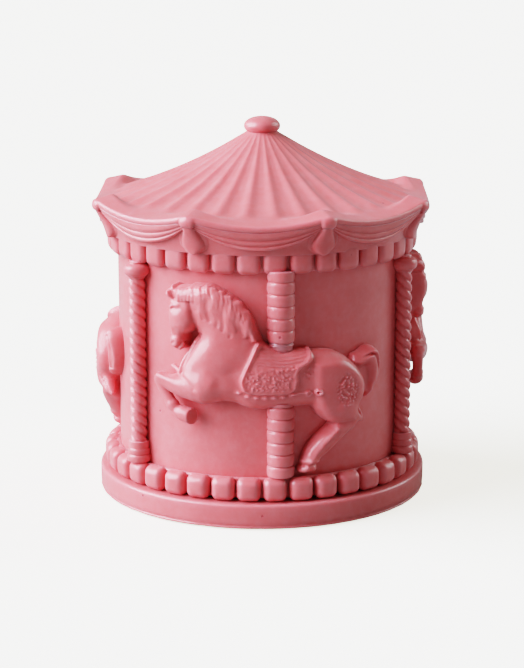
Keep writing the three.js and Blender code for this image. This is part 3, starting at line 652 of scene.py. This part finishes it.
# ---------------- poles and columns
def upright(radius_at, heights, centre, sides):
    """Standing shape whose radius depends on turn and height; its back lies against the drum."""
    turn = np.radians(around(sides))[None, :]
    z = np.array(heights)[:, None]
    rho = radius_at(turn, z) * np.ones_like(turn * z)
    along, out = rho * np.sin(turn), centre + rho * np.cos(turn)
    r = np.hypot(along, out)
    keep = np.maximum(r, BACK_R) / r
    points = np.stack([along * keep, -out * keep, np.broadcast_to(z, along.shape)], -1)
    points = np.concatenate([points[:1], points, points[-1:]])
    return capped(points)


def stack(turn, z, start, low):
    """Radius of a stack of rings whose first groove is at start; its lower end, at low, is drawn in."""
    f = ((z - start) / RING_PITCH) % 1
    bead = unit(1 - np.abs(2 * f - 1) ** 5) ** 0.55
    end = unit(1 - unit((low + 0.5 - z) / 0.5) ** 2)
    return 3.55 + 0.63 * bead - 0.4 * (1 - end) + 0.05 * np.sin(turn * 2 + z)


def flange_r(turn, z):
    """The thin collar where the pole comes out of the saddle."""
    return 3.95 * np.sqrt(np.clip(1 - ((z - 56.3) / 1.1) ** 2, 0.02, 1))


def rope_r(turn, z):
    strand = np.abs(np.cos(1.5 * turn + TWIST * z)) ** 0.7
    return ROPE_R + STRAND * strand


def foot_r(turn, z):
    """Three rings, each smaller than the one under it."""
    r = np.full_like(z, 2.4)
    for low, high, size in ((15.2, 17.6, 3.75), (17.6, 19.7, 3.5), (19.7, 21.4, 3.15)):
        f = unit((z - low) / (high - low))
        r = np.maximum(r, size - 0.55 + 0.55 * unit(1 - np.abs(2 * f - 1) ** 3) ** 0.5)
    return r


def head_r(turn, z):
    """A cushion over a thin collar."""
    cushion = 4.1 * np.sqrt(unit(1 - (np.abs(z - 75.6) / 2.4) ** 2.6))
    collar = np.where(z < 74.4, 2.9 * np.sqrt(unit(1 - ((z - 73.6) / 0.9) ** 2)), 0)
    return np.maximum.reduce([cushion, collar, np.full_like(z, 2.3)])


def first_of_three(name, body, node_name, turn):
    """The first of a piece that stands three times, with what its copies are called."""
    return piece(f"{name}_1", *body, "carousel", [f"{node_name}_1"], turn=turn), name, node_name


def add_copies(firsts):
    for k in range(2, HORSES + 1):
        for first, name, node_name in firsts:
            mesh = first.data.copy()
            mesh.transform(Matrix.Rotation(math.radians(360 / HORSES * (k - 1)), 4, "Z"))
            show(f"{name}_{k}", mesh, "carousel", [f"{node_name}_{k}"])


ring_step = RING_PITCH / 15
low_heights = np.r_[np.arange(*LOW_STACK, ring_step), LOW_STACK[1] + 0.1]
pole = join(
    upright(lambda turn, z: stack(turn, z, LOW_STACK[0], LOW_STACK[0]), low_heights, POLE_CENTRE, 40),
    upright(lambda turn, z: stack(turn, z, HIGH_STACK[0] + 0.2, HIGH_STACK[0]),
            np.arange(*HIGH_STACK, ring_step), POLE_CENTRE, 40),
    upright(lambda turn, z: 3.6, [54.6, 56, 58], POLE_CENTRE, 24),
    upright(flange_r, np.linspace(55.2, 57.4, 10), POLE_CENTRE - 0.2, 40))
firsts = [first_of_three("ringed_pole", pole, "horse_pole", HORSE_PHASE)]
for name, radius_at, heights, sides, node_name in (
        ("rope_column", rope_r, np.arange(*ROPE_Z, 0.26), 36, "column"),
        ("column_base", foot_r, np.arange(15.2, 22.0, 0.17), 40, "column_foot"),
        ("column_capital", head_r, np.arange(72.8, 78.2, 0.15), 40, "column_head")):
    body = upright(radius_at, heights, COLUMN_CENTRE, sides)
    firsts.append(first_of_three(name, body, node_name, HORSE_PHASE + 180 / HORSES))
add_copies(firsts)


# ---------------- horse in relief
# The horse is a volume laid out flat: u along the drum (left is forwards), z up, w out from its face. It
# holds about how far each point is from the surface, below 0 inside.
VOXEL = 0.3
US = np.arange(-40.6, 35.0, VOXEL)
ZS = np.arange(14.2, 76.8, VOXEL)
WS = np.arange(-1.2, 10.4, VOXEL)
flat_u, flat_z = np.meshgrid(US, ZS, indexing="ij")


def spline(points, closed=False, steps=5):
    """Smooth curve through the points (Catmull-Rom)."""
    p = np.array(points, float)
    ends = (p[-1:], p[:2]) if closed else (2 * p[:1] - p[1:2], 2 * p[-1:] - p[-2:-1])
    p = np.concatenate([ends[0], p, ends[1]])
    out = []
    for k in range(1, len(p) - 2):
        for t in np.arange(steps) / steps:
            a, b, c, d = p[k - 1:k + 3]
            out.append(0.5 * (2 * b + (c - a) * t + (2 * a - 5 * b + 4 * c - d) * t * t
                              + (3 * b - a - 3 * c + d) * t ** 3))
    return np.array(out if closed else out + [p[-2]])


def distance(curve, closed=False):
    """Flat distance to a curve, and how far along it (0 to 1) the nearest point is."""
    best = np.full(flat_u.shape, 1e9)
    where = np.zeros(flat_u.shape)
    ends = list(zip(curve, np.roll(curve, -1, 0)))
    if not closed:
        ends.pop()
    for k, (a, b) in enumerate(ends):
        way = b - a
        t = unit(((flat_u - a[0]) * way[0] + (flat_z - a[1]) * way[1]) / max(way @ way, 1e-9))
        d = np.hypot(flat_u - a[0] - t * way[0], flat_z - a[1] - t * way[1])
        closer = d < best
        best = np.where(closer, d, best)
        where = np.where(closer, (k + t) / len(ends), where)
    return best, where


def outline(points, steps=5):
    """Signed distance to a smooth closed outline, positive inside it."""
    curve = spline(points, True, steps)
    d, _ = distance(curve, True)
    inside = np.zeros(flat_u.shape, bool)
    for (x0, y0), (x1, y1) in zip(curve, np.roll(curve, -1, 0)):
        crossing_u = (x1 - x0) * (flat_z - y0) / ((y1 - y0) or 1e-9) + x0
        inside ^= ((y0 > flat_z) != (y1 > flat_z)) & (flat_u < crossing_u)
    return np.where(inside, d, -d)


def pad(shape, edge, depth, power=2.4):
    """Pillow over an outline: edge is how far in its side rounds, depth its height above the drum."""
    depth = np.broadcast_to(depth, shape.shape)[..., None]
    e = np.clip((edge - shape) / edge, 0, None)[..., None] ** power
    v = (np.abs(WS)[None, None, :] / depth) ** power
    return ((e + v) ** (1 / power) - 1) * np.minimum(edge, depth)


def smin(a, b, k):
    """Both volumes together, with a soft joint about k wide."""
    h = np.clip(k - np.abs(a - b), 0, None) / k
    return np.minimum(a, b) - h * h * k / 4


def dome(u, z, size, power=2.0):
    """A soft bump of height 1 over the flat layout."""
    return np.exp(-(np.hypot(flat_u - u, flat_z - z) / size) ** power)


def limb(form, points, k=0.6, flat=1.0, steps=4, clip=None):
    """Adds a smooth tapering limb through (u, z, w, radius) points to the volume. flat under 1 presses it
    flat. clip is a plane's point and normal, past which it ends."""
    p = spline(points, False, steps)
    reach = p[:, 3].max() + k + 1.2
    lowest, highest = p[:, :3].min(0) - reach, p[:, :3].max(0) + reach
    near = tuple(slice(max(0, int((low - grid[0]) / VOXEL)), max(0, int((high - grid[0]) / VOXEL) + 2))
                 for low, high, grid in zip(lowest, highest, (US, ZS, WS)))
    place = np.stack(np.meshgrid(US[near[0]], ZS[near[1]], WS[near[2]], indexing="ij"), -1)
    best = np.full(place.shape[:3], 1e9)
    for a, b in zip(p[:-1], p[1:]):
        way = (b - a)[:3]
        t = unit((place - a[:3]) @ way / max(way @ way, 1e-9))
        across = (place - a[:3] - t[..., None] * way) / (1, 1, flat)
        best = np.minimum(best, np.linalg.norm(across, axis=-1) - mix(a[3], b[3], t))
    if clip:
        best = np.maximum(best, (place - clip[:3]) @ clip[3:])
    form[near] = smin(form[near], best, k)


def ridge(points, width, height, taper=0.0):
    """A raised line, or with a negative height a groove, that may fade towards its end."""
    d, t = distance(spline(points))
    return height * np.exp(-(d / width) ** 2) * (1 - taper * t)


# Outlines of the horse's parts in (u, z).
TRUNK = [(-28.8, 51.5), (-29.8, 47.5), (-29.2, 43.2), (-26, 40.2), (-22.3, 38.5), (-18, 38.7), (-14, 38.5),
         (-10.5, 37.3), (-7.2, 36.6), (0, 37.1), (8, 37.3), (14, 36), (22, 36), (24.5, 39), (25.2, 43),
         (23.6, 47.5), (20.5, 51), (15, 54), (8.5, 54.6), (3, 54.6), (-1, 55), (-6, 58), (-10, 60), (-20, 59)]
NECK = [(-24, 59.2), (-25.6, 56.5), (-27.8, 51.8), (-29.4, 47.6), (-22, 44), (-10, 48), (-5.8, 57.5),
        (-7, 60.8), (-8.4, 64.5), (-10.5, 67.4), (-12.7, 69.8), (-15.6, 71.8), (-19.5, 73.6),
        (-24, 73.9), (-28.6, 72.4), (-29.4, 68), (-28.4, 63.6), (-26, 60.9)]
HEAD = [(-24.9, 73.7), (-27.5, 73.4), (-30.2, 73.3), (-32, 71.6), (-32.5, 68.2), (-32.7, 64), (-32.5, 60),
        (-32.1, 57), (-31.3, 54.9), (-29.6, 54), (-28, 54.5), (-27.6, 56.6), (-27.2, 58.6), (-25.9, 59.5),
        (-24.6, 61.2), (-23.9, 64), (-24.4, 68.6)]
EAR = [(-33.5, 71.1), (-33, 72.7), (-31.8, 73.9), (-30.4, 73.2), (-29.3, 71.2), (-29.2, 69.4), (-30.6, 69),
       (-32.6, 69.6)]
THIGH = [(8.2, 52), (13, 52.9), (17.6, 52.2), (21.6, 49.4), (24.2, 45.6), (25, 42.2), (24.3, 38.6),
         (22.4, 35.8), (22, 33.2), (21, 31.4), (16.5, 31), (12.9, 32.4), (10, 35.2), (8.4, 38.2), (7.6, 42),
         (7.2, 48)]
SHANK = [(15.6, 32.5), (14.2, 30.6), (10.7, 28), (7.4, 24.4), (5.9, 21), (5.1, 19), (4.5, 17.3),
         (5.6, 16.2), (8, 16.2), (10.3, 16.6), (10.9, 18.6), (11.6, 20.2), (14.2, 22.4), (18.7, 26.6),
         (22.6, 29.8), (22, 33)]
TAIL = [(21.8, 49.6), (25, 52.2), (28.9, 53.6), (31.5, 51.6), (32.7, 48), (32.6, 44), (30.6, 40.2),
        (26.8, 37.4), (26.6, 40.2), (27.3, 43), (27.2, 45.8), (26.2, 47.6), (23.6, 47.4)]
TAIL_ROOT = [(22, 50.5), (25.5, 51.5), (29.6, 48.5), (29.8, 44), (28.2, 39.6), (25.4, 39.2), (22.6, 41)]
CREST = [(-26.4, 74), (-22.5, 74.4), (-19.5, 74.1), (-15.6, 72.2), (-12.5, 70.2), (-10.2, 67.6), (-8, 64.5),
         (-6.7, 60.8), (-6.4, 57.8), (-8.6, 57.6), (-10.2, 61), (-12.5, 63.5), (-15, 65.5), (-18.5, 68),
         (-22.5, 70), (-25.6, 71.4)]
SADDLE = [(-6.6, 58), (-8.6, 53.5), (-10.3, 49.2), (-11.2, 46.2), (-10.6, 43.6), (-8.6, 42.3), (-4, 42),
          (0.3, 42), (2.8, 43), (3.9, 45.6), (4, 49), (5.8, 50.4), (8, 52.2), (8.5, 54.5), (7.6, 57.4),
          (5.2, 55.9), (3, 55.2), (-0.4, 55.2), (-3.2, 56.2)]

# Middle lines of the mane's locks, from the crest down.
LOCKS = [
    [(-24.3, 72.2), (-23.8, 70.8), (-23.4, 68.8), (-23.2, 67)],
    [(-22.9, 73), (-22.2, 71.5), (-22, 68.9), (-21.7, 66.5), (-21.4, 64.4)],
    [(-20.8, 73.4), (-20.3, 72), (-20.1, 69.5), (-20.4, 67), (-19.6, 64)],
    [(-18.8, 73), (-18, 70.5), (-18.4, 67.8), (-17.4, 65.4), (-17.6, 62.4)],
    [(-16.7, 72.2), (-16.1, 69.5), (-16.6, 66.6), (-15.7, 64.1), (-16, 61.4)],
    [(-14.4, 70.8), (-13.8, 67.4), (-14.3, 64.4), (-13.7, 61.9), (-14, 59.6)],
    [(-12.2, 69), (-11.7, 66), (-12, 63.6), (-11.6, 61.2)],
    [(-10.2, 66.4), (-9.5, 63.4), (-9.8, 60.2)],
]


def horse_volume():
    """The horse without its fine relief. Later parts are laid over earlier ones."""
    bulk = 5.5 + 1.5 * dome(-21, 46, 9) + 0.5 * dome(-3, 47, 11) + dome(16, 44, 9)
    form = pad(outline(TRUNK), 5.6, bulk)
    form = smin(form, pad(outline(NECK), 6.8, 5.6 + 1.4 * dome(-19, 54, 8), 2.1), 1.6)
    form = smin(form, pad(outline(THIGH, 4), 3.8, 6.8 + 0.7 * dome(16, 42, 9), 2.6), 0.5)
    form = smin(form, pad(outline(SHANK, 4), 2.3, 4.3 + 1.4 * smooth((flat_z - 18) / 14), 2.1), 0.5)
    limb(form, [(17.5, 37, 3.4, 4), (21.6, 33.6, 3.2, 2.6), (25, 31.2, 2.6, 0.9)], 1.2)
    limb(form, [(18.6, 30.2, 4, 1.4), (12.6, 25.6, 4, 1.2), (8.7, 21.8, 3.6, 1.2)], 0.8)
    form = smin(form, pad(outline(TAIL, 4), 2.4, 4.4 + 0.8 * dome(28, 52, 4), 2.2), 0.5)
    form = smin(form, pad(outline(TAIL_ROOT, 4), 1.5, 2.9, 2.2), 0.6)
    # mane and crest
    form = smin(form, pad(outline(CREST, 4), 2, 6.1, 2.2), 0.5)
    for k, lock in enumerate(LOCKS):
        sizes = [1.232, 1.68, 1.624, 1.344, 0.616][-len(lock):]
        strand = []
        for i, (u, z) in enumerate(lock):
            strand.append((u, z, 5.1 - 0.1 * i + 0.3 * (k % 2) - (i == 0), sizes[i]))
        limb(form, strand, 0.8, 0.9)
    # head, drawn after the neck so that the jaw stands clear of it
    face = 5.6 + 1.2 * dome(-28.4, 64.6, 4.4, 3) - 0.5 * dome(-30.5, 55, 3)
    form = smin(form, pad(outline(HEAD), 2.1, face, 2.3), 0.3)
    limb(form, [(-28.2, 64.6, 3.9, 2.9), (-27.9, 62.8, 3.8, 2.9)], 1, 1.05)
    form = smin(form, pad(outline(EAR, 4), 1.5, 6.3, 2.2), 0.3)
    limb(form, [(-29.9, 56.6, 4.2, 2.1), (-29.2, 55.6, 4.1, 1.6)], 0.6)
    for u in -28.7 + 1.05 * np.arange(5):
        limb(form, [(u, 72.5, 4.9, 0.6), (u + 0.2, 71.3, 5.7, 0.66), (u + 0.1, 69.9, 6, 0.45)], 0.35)
    # forelegs: the near one folded, the far one only an edge above it
    limb(form, [(-26.5, 44.8, 1, 2.6), (-29.8, 45.9, 0.5, 1.1), (-34.2, 47.7, 0.3, 0.6)], 0.3)
    limb(form, [(-22.5, 43.2, 3.4, 4.8), (-28.4, 43.1, 4, 3.5), (-32.6, 43.8, 4.4, 2.35),
                (-35.3, 44.6, 4.4, 2)], 3)
    limb(form, [(-35.7, 43.9, 4.2, 1.95), (-34.4, 41.2, 4.3, 1.75), (-33, 38.8, 4.3, 1.65),
                (-31.5, 36.6, 4.2, 1.75)], 0.5)
    limb(form, [(-31.6, 36.8, 4.3, 1.85), (-30.4, 35.4, 4.2, 1.6)], 0.4)
    hoof = [(-30.3, 35.2, 4.2, 1.6), (-28.7, 34.6, 4.1, 2.25), (-26.3, 33.9, 4, 2.5), (-23.6, 33.4, 4, 2.6)]
    limb(form, hoof, 0.25, clip=(-25.5, 33.7, 4.2, 0.94, -0.04, 0.27))
    limb(form, [(-27.8, 43.9, 6.5, 0.9), (-35.2, 45.5, 5.9, 0.75)], 0.9)
    return form


def horse_relief():
    """Fine relief added to the surface, in mm, over the flat layout."""
    relief = np.zeros(flat_u.shape)
    for points, width, height in (
            # neck strip, crease under the jaw, folds of the chest, hollow behind the shoulder
            ([(-23.8, 60), (-26, 55.8), (-28.1, 51.2), (-28.9, 47.6)], 0.42, 0.45),
            ([(-22.6, 59.6), (-24.9, 55.2), (-27, 50.8), (-27.7, 47.2)], 0.38, -0.35),
            ([(-29, 46.4), (-26.6, 46), (-23.4, 43.6)], 0.7, -0.45),
            ([(-20.6, 48.8), (-18.6, 47.2), (-18.9, 45.2)], 1.2, 0.18),
            ([(-12.6, 40.2), (-12.2, 44), (-13.4, 48)], 2.2, -0.35),
            # brow, eye, nostril, mouth, edge of the cheek, hollow of the ear
            ([(-31, 67.4), (-30, 68.2), (-28.7, 68.1)], 0.5, 0.16),
            ([(-30.8, 66.8), (-30, 67.1), (-29, 66.9)], 0.38, -0.09),
            ([(-30.8, 56.2), (-30.2, 56.6)], 0.42, -0.6),
            ([(-29.6, 54.7), (-28.6, 55.6), (-28.3, 56.6)], 0.34, -0.5),
            ([(-24.6, 66.4), (-23.7, 63.8), (-24.8, 60.4), (-26.8, 58.8)], 0.6, -0.22),
            ([(-30.2, 70), (-30.9, 71.4), (-31.8, 72.6)], 0.7, -0.36)):
        relief += ridge(points, width, height)
    # comb lines over the crest, and strands in the locks
    for k in range(15):
        u = -24.6 + 1.18 * k
        z = 74.2 - 0.052 * max(0, k - 3) ** 2.05
        relief += ridge([(u, z), (u + 0.9, z - 2.6), (u + 0.7, z - 5.4)], 0.4, -0.2, taper=0.6)
    for lock in LOCKS:
        for shift in (-0.75, 0, 0.75):
            strand = [(u + shift * (1 - 0.16 * i), z) for i, (u, z) in enumerate(lock)]
            relief += ridge(strand, 0.24, -0.17)
    # folds at the hock, tendon and fetlock of the hind leg, edge of its hoof
    for k in range(3):
        relief += ridge([(21.4 + 0.5 * k, 36.0 - 0.9 * k), (23.2 + 0.4 * k, 33.9 - 0.7 * k)], 0.3, -0.35)
    relief += ridge([(15.6, 30), (11.6, 25.6), (9.7, 23), (7.8, 19.6), (6.8, 17.4)], 0.6, 0.32)
    relief += ridge([(5.2, 20.4), (8, 20.4), (10.9, 20.2)], 0.5, 0.3)
    relief += ridge([(5, 19.2), (8, 19.2), (10.6, 18.9)], 0.35, -0.35)
    # tail strands
    for k in range(4):
        s = 0.9 * k
        relief += ridge([(25.0 + s, 50.6 + 0.2 * k), (28.0 + s * 0.6, 51.4 - 0.2 * k),
                         (30.2 + 0.3 * k, 48 - 0.2 * k), (30.2 + 0.4 * k, 44), (28.6 + 0.35 * k, 40.6)],
                        0.35, -0.22)
    return relief + saddle_relief()


def saddle_relief():
    """Saddle, its cloth with a stippled flap, beads and strap under it, and the stippled rump."""
    cloth = outline(SADDLE, 4)
    relief = 0.75 * smooth((cloth + 0.1) / 0.5)
    # front roll, groove behind it, raised back edge, flutes of the seat
    relief += ridge([(-6.7, 57.2), (-8.3, 53.5), (-10, 49.2), (-10.9, 46.2), (-10.1, 43.6)], 0.62, 0.5)
    relief += ridge([(-5.2, 57), (-6.9, 53.2), (-8.6, 48.9), (-9.4, 46), (-8.8, 44)], 0.45, -0.14)
    relief += ridge([(7.4, 56.4), (7.6, 54), (6.4, 51.9), (3.6, 50.2)], 0.5, 0.45)
    inner = smooth((cloth - 0.9) / 0.6)
    for z in 55.0 - 0.95 * np.arange(6):
        relief += inner * ridge([(-6.6, z + 0.9), (-3, z + 0.5), (1, z + 0.1), (6.4, z + 0.9)], 0.24, -0.2)
    # stippled flap, and a stippled border down its back edge
    flap = inner * smooth((50.6 - flat_z + 0.12 * (flat_u + 4)) / 1)
    relief += flap * 0.55 * stipple(0.85, 31)
    border = smooth((cloth + 0.4) / 0.5) * smooth((1.3 - cloth) / 0.5)
    border *= smooth((50.5 - flat_z) / 0.8) * smooth((flat_u - 2.2) / 0.8)
    relief += 0.5 * border * (0.4 + 0.6 * stipple(0.85, 33))
    # beads under the flap, strap and its two rings
    for k, z in enumerate((42.6, 41.5, 41.2, 41.1, 41.1, 41.3, 41.9)):
        u = -11.6 + 2.35 * k
        relief += 0.62 * np.exp(-(((flat_u - u) / 0.78) ** 2 + ((flat_z - z) / 0.52) ** 2))
    relief += ridge([(2.6, 42.1), (5, 42.3), (7, 42.3)], 0.32, 0.38)
    for u, z in ((7, 42.2), (9.4, 42.4)):
        relief += 0.55 * np.exp(-((np.hypot(flat_u - u, flat_z - z) - 0.72) / 0.3) ** 2)
    # stippled rosette on the rump and patch behind the saddle
    for u, z, half_u, half_z, soft, height, size, seed in (
            (17.6, 42.3, 3.8, 5.8, 0.25, 0.62, 0.95, 35), (6.9, 48.4, 1.9, 2.3, 0.3, 0.42, 0.9, 37)):
        within = smooth((1 - np.hypot((flat_u - u) / half_u, (flat_z - z) / half_z)) / soft)
        relief += within * height * (stipple(size, seed) - 0.3)
    return relief


def stipple(size, seed):
    """Bumps of about that size at jittered places, 0 to 1."""
    r = np.random.default_rng(seed)
    out = np.zeros(flat_u.shape)
    reach = 2
    n = int(2 * reach / VOXEL)
    for u, z in product(np.arange(-12, 24, size), np.arange(34, 54, size)):
        u += r.uniform(-0.4, 0.4) * size
        z += r.uniform(-0.4, 0.4) * size
        height = r.uniform(0.4, 1)
        i, j = int((u - reach - US[0]) / VOXEL), int((z - reach - ZS[0]) / VOXEL)
        near = (slice(i, i + n), slice(j, j + n))
        d = np.hypot(flat_u[near] - u, flat_z[near] - z) / (size * 0.35)
        out[near] = np.maximum(out[near], height * np.exp(-d * d))
    return out


def skin_of(form, origin, step):
    """Closed mesh where a volume changes sign: a point in each crossed cell, a quad at each crossed edge."""
    inside = form < 0
    shape = np.array(form.shape) - 1
    corner_sum = sum(inside[i:i + shape[0], j:j + shape[1], k:k + shape[2]].astype(np.int8)
                     for i, j, k in product((0, 1), repeat=3))
    active = (corner_sum > 0) & (corner_sum < 8)
    index = np.full(active.shape, -1, np.int64)
    index[active] = np.arange(active.sum())
    cells = np.argwhere(active)
    total, number = np.zeros((len(cells), 3)), np.zeros(len(cells))
    steps = np.eye(3, dtype=int)
    for along, corner in product(steps, product((0, 1), repeat=3)):
        a = np.array(corner)
        if a @ along:
            continue
        fa, fb = form[tuple((cells + a).T)], form[tuple((cells + a + along).T)]
        cross = (fa < 0) != (fb < 0)
        t = fa[cross] / (fa[cross] - fb[cross])
        total[cross] += a + t[:, None] * along
        number[cross] += 1
    points = (cells + total / number[:, None]) * step + origin
    faces = []
    for axis in range(3):
        b, c = steps[(axis + 1) % 3], steps[(axis + 2) % 3]
        within = [slice(1, -1)] * 3
        within[axis] = slice(None)
        change = np.diff(inside.astype(int), axis=axis)[tuple(within)]
        for way in (-1, 1):
            at = np.argwhere(change == way) + b + c
            quads = np.stack([index[tuple((at - d).T)] for d in (0 * b, b, b + c, c)], -1)
            faces.append(quads[:, ::-way])
    return points, np.concatenate(faces)


def relax(points, faces, rounds, strength):
    """Evens out the grid's steps by moving each point towards its neighbours."""
    edges = np.concatenate([faces[:, [k, (k + 1) % 4]] for k in range(4)])
    start, end = np.concatenate([edges, edges[:, ::-1]]).T
    number = np.bincount(start)[:, None]
    for _ in range(rounds):
        total = np.stack([np.bincount(start, points[end, k]) for k in range(3)], -1)
        points = mix(points, total / number, strength)
    return points


def horse():
    """The horse as one mesh, bent round the drum. Its back lies just inside the drum's face."""
    back = -0.5
    volume = horse_volume() - horse_relief()[..., None] * smooth(WS / 1.5)
    volume = np.maximum(volume, back - WS)
    volume = np.pad(volume[1:-1, 1:-1, 1:-1], 1, constant_values=0.5)
    points, faces = skin_of(volume, np.array([US[0], ZS[0], WS[0]]), VOXEL)
    points = relax(points, faces, 2, 0.4)
    angle, radius = points[:, 0] / DRUM_R, DRUM_R + points[:, 2]
    return np.stack([radius * np.sin(angle), -radius * np.cos(angle), points[:, 1]], -1), faces


add_copies([first_of_three("relief_horse", horse(), "horse", HORSE_PHASE)])


# ---------------- pins of the music cylinder
def cylinder_pins():
    """Short tapered pins at seeded places, in one row round the cylinder for each note."""
    low, high = (np.array(c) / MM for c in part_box("music_cylinder"))
    axis_y, axis_z = (low[1:] + high[1:]) / 2
    cylinder_r = (high[2] - low[2]) / 2
    notes, pins_each, steps = 18, 9, 48
    q = np.radians(around(6))
    pins = []
    r = np.random.default_rng(77)
    for x in np.linspace(low[0] + 0.7, high[0] - 0.7, notes):
        for turn in np.sort(r.choice(steps, pins_each, replace=False)) * (2 * math.pi / steps):
            rows = []
            for out, size in ((-0.15, 0.16), (0.3, 0.15), (0.42, 0.09)):
                away = cylinder_r + out
                t = turn + size * np.sin(q) / away
                rows.append((x + size * np.cos(q), axis_y + away * np.sin(t), axis_z + away * np.cos(t)))
            rows = np.moveaxis(rows, 1, 2)
            pins.append(capped(np.concatenate([rows[:1], rows, rows[-1:]])))
    return join(*pins)


piece("cylinder_pins", *cylinder_pins(), "cylinder", [], "steel")


# ---------------- camera, floor and light
scene = bpy.context.scene
CAMERA_PLACE, CAMERA_TARGET_Z = (0, -0.6677, 0.2058), 0.0487  # metres
camera = bpy.data.objects.new("camera", bpy.data.cameras.new("camera"))
scene.collection.objects.link(camera)
camera.location = CAMERA_PLACE
camera.data.lens = 115.6
camera.data.sensor_width = 36
tilt = math.atan2(camera.location.z - CAMERA_TARGET_Z, -camera.location.y)
camera.rotation_euler = (math.pi / 2 - tilt, 0, 0)
scene.camera = camera


def seen_brighter(tree, lights, seen):
    """lights where it lights the object, seen where the camera sees it: for the stage only."""
    path = tree.nodes.new("ShaderNodeLightPath")
    return span(tree, path.outputs["Is Camera Ray"], 0, 1, lights, seen)


def paper_material():
    """White paper that glows a little to the camera, so that it shows as bright as in the photo."""
    material, tree, where = new_material("floor")
    paper = ramp(tree, noise(tree, where, 3, 2, 0.5), [(0.3, (0.82, 0.97, 0.9)), (0.7, (0.85, 1.0, 0.93))])
    set_shader(tree, {
        "Base Color": blend(tree, "MULTIPLY", 1.0, paper, seen_brighter(tree, 0.35, 0.85)), "Roughness": 0.9,
        "Specular IOR Level": 0.2, "Emission Color": (1.0, 0.935, 0.8),
        "Emission Strength": seen_brighter(tree, 0.0, 1.17)})
    return material


FLOOR_R = 8  # metres
rim = [(FLOOR_R * math.sin(t), FLOOR_R * math.cos(t), 0) for t in np.radians(around(64))]
mesh = bpy.data.meshes.new("floor")
mesh.from_pydata(rim, [], [list(range(len(rim)))[::-1]])
mesh.materials.append(paper_material())
floor = bpy.data.objects.new("floor", mesh)
scene.collection.objects.link(floor)


def sun(name, azimuth, height, strength, spread, color):
    """Soft light from far away, from that azimuth and height in degrees."""
    light = bpy.data.lights.new(name, "SUN")
    light.energy, light.angle, light.color = strength, math.radians(spread), color
    made = bpy.data.objects.new(name, light)
    scene.collection.objects.link(made)
    a, h = math.radians(azimuth), math.radians(height)
    way = Vector((math.sin(a) * math.cos(h), -math.cos(a) * math.cos(h), math.sin(h)))
    made.rotation_euler = way.to_track_quat("Z", "Y").to_euler()


sun("key", -82, 31, 7.4, 60, (0.94, 0.83, 1.0))
sun("rim", 112, 24, 1.1, 40, (0.84, 0.98, 1.0))
world = bpy.data.worlds.new("world")
scene.world = world
world.use_nodes = True
background = world.node_tree.nodes["Background"]
background.inputs["Color"].default_value = (1.0, 1.0, 1.0, 1)
world.node_tree.links.new(seen_brighter(world.node_tree, 0.17, 2.0), background.inputs["Strength"])
scene.view_settings.view_transform = "Filmic"
scene.view_settings.look = "Very High Contrast"
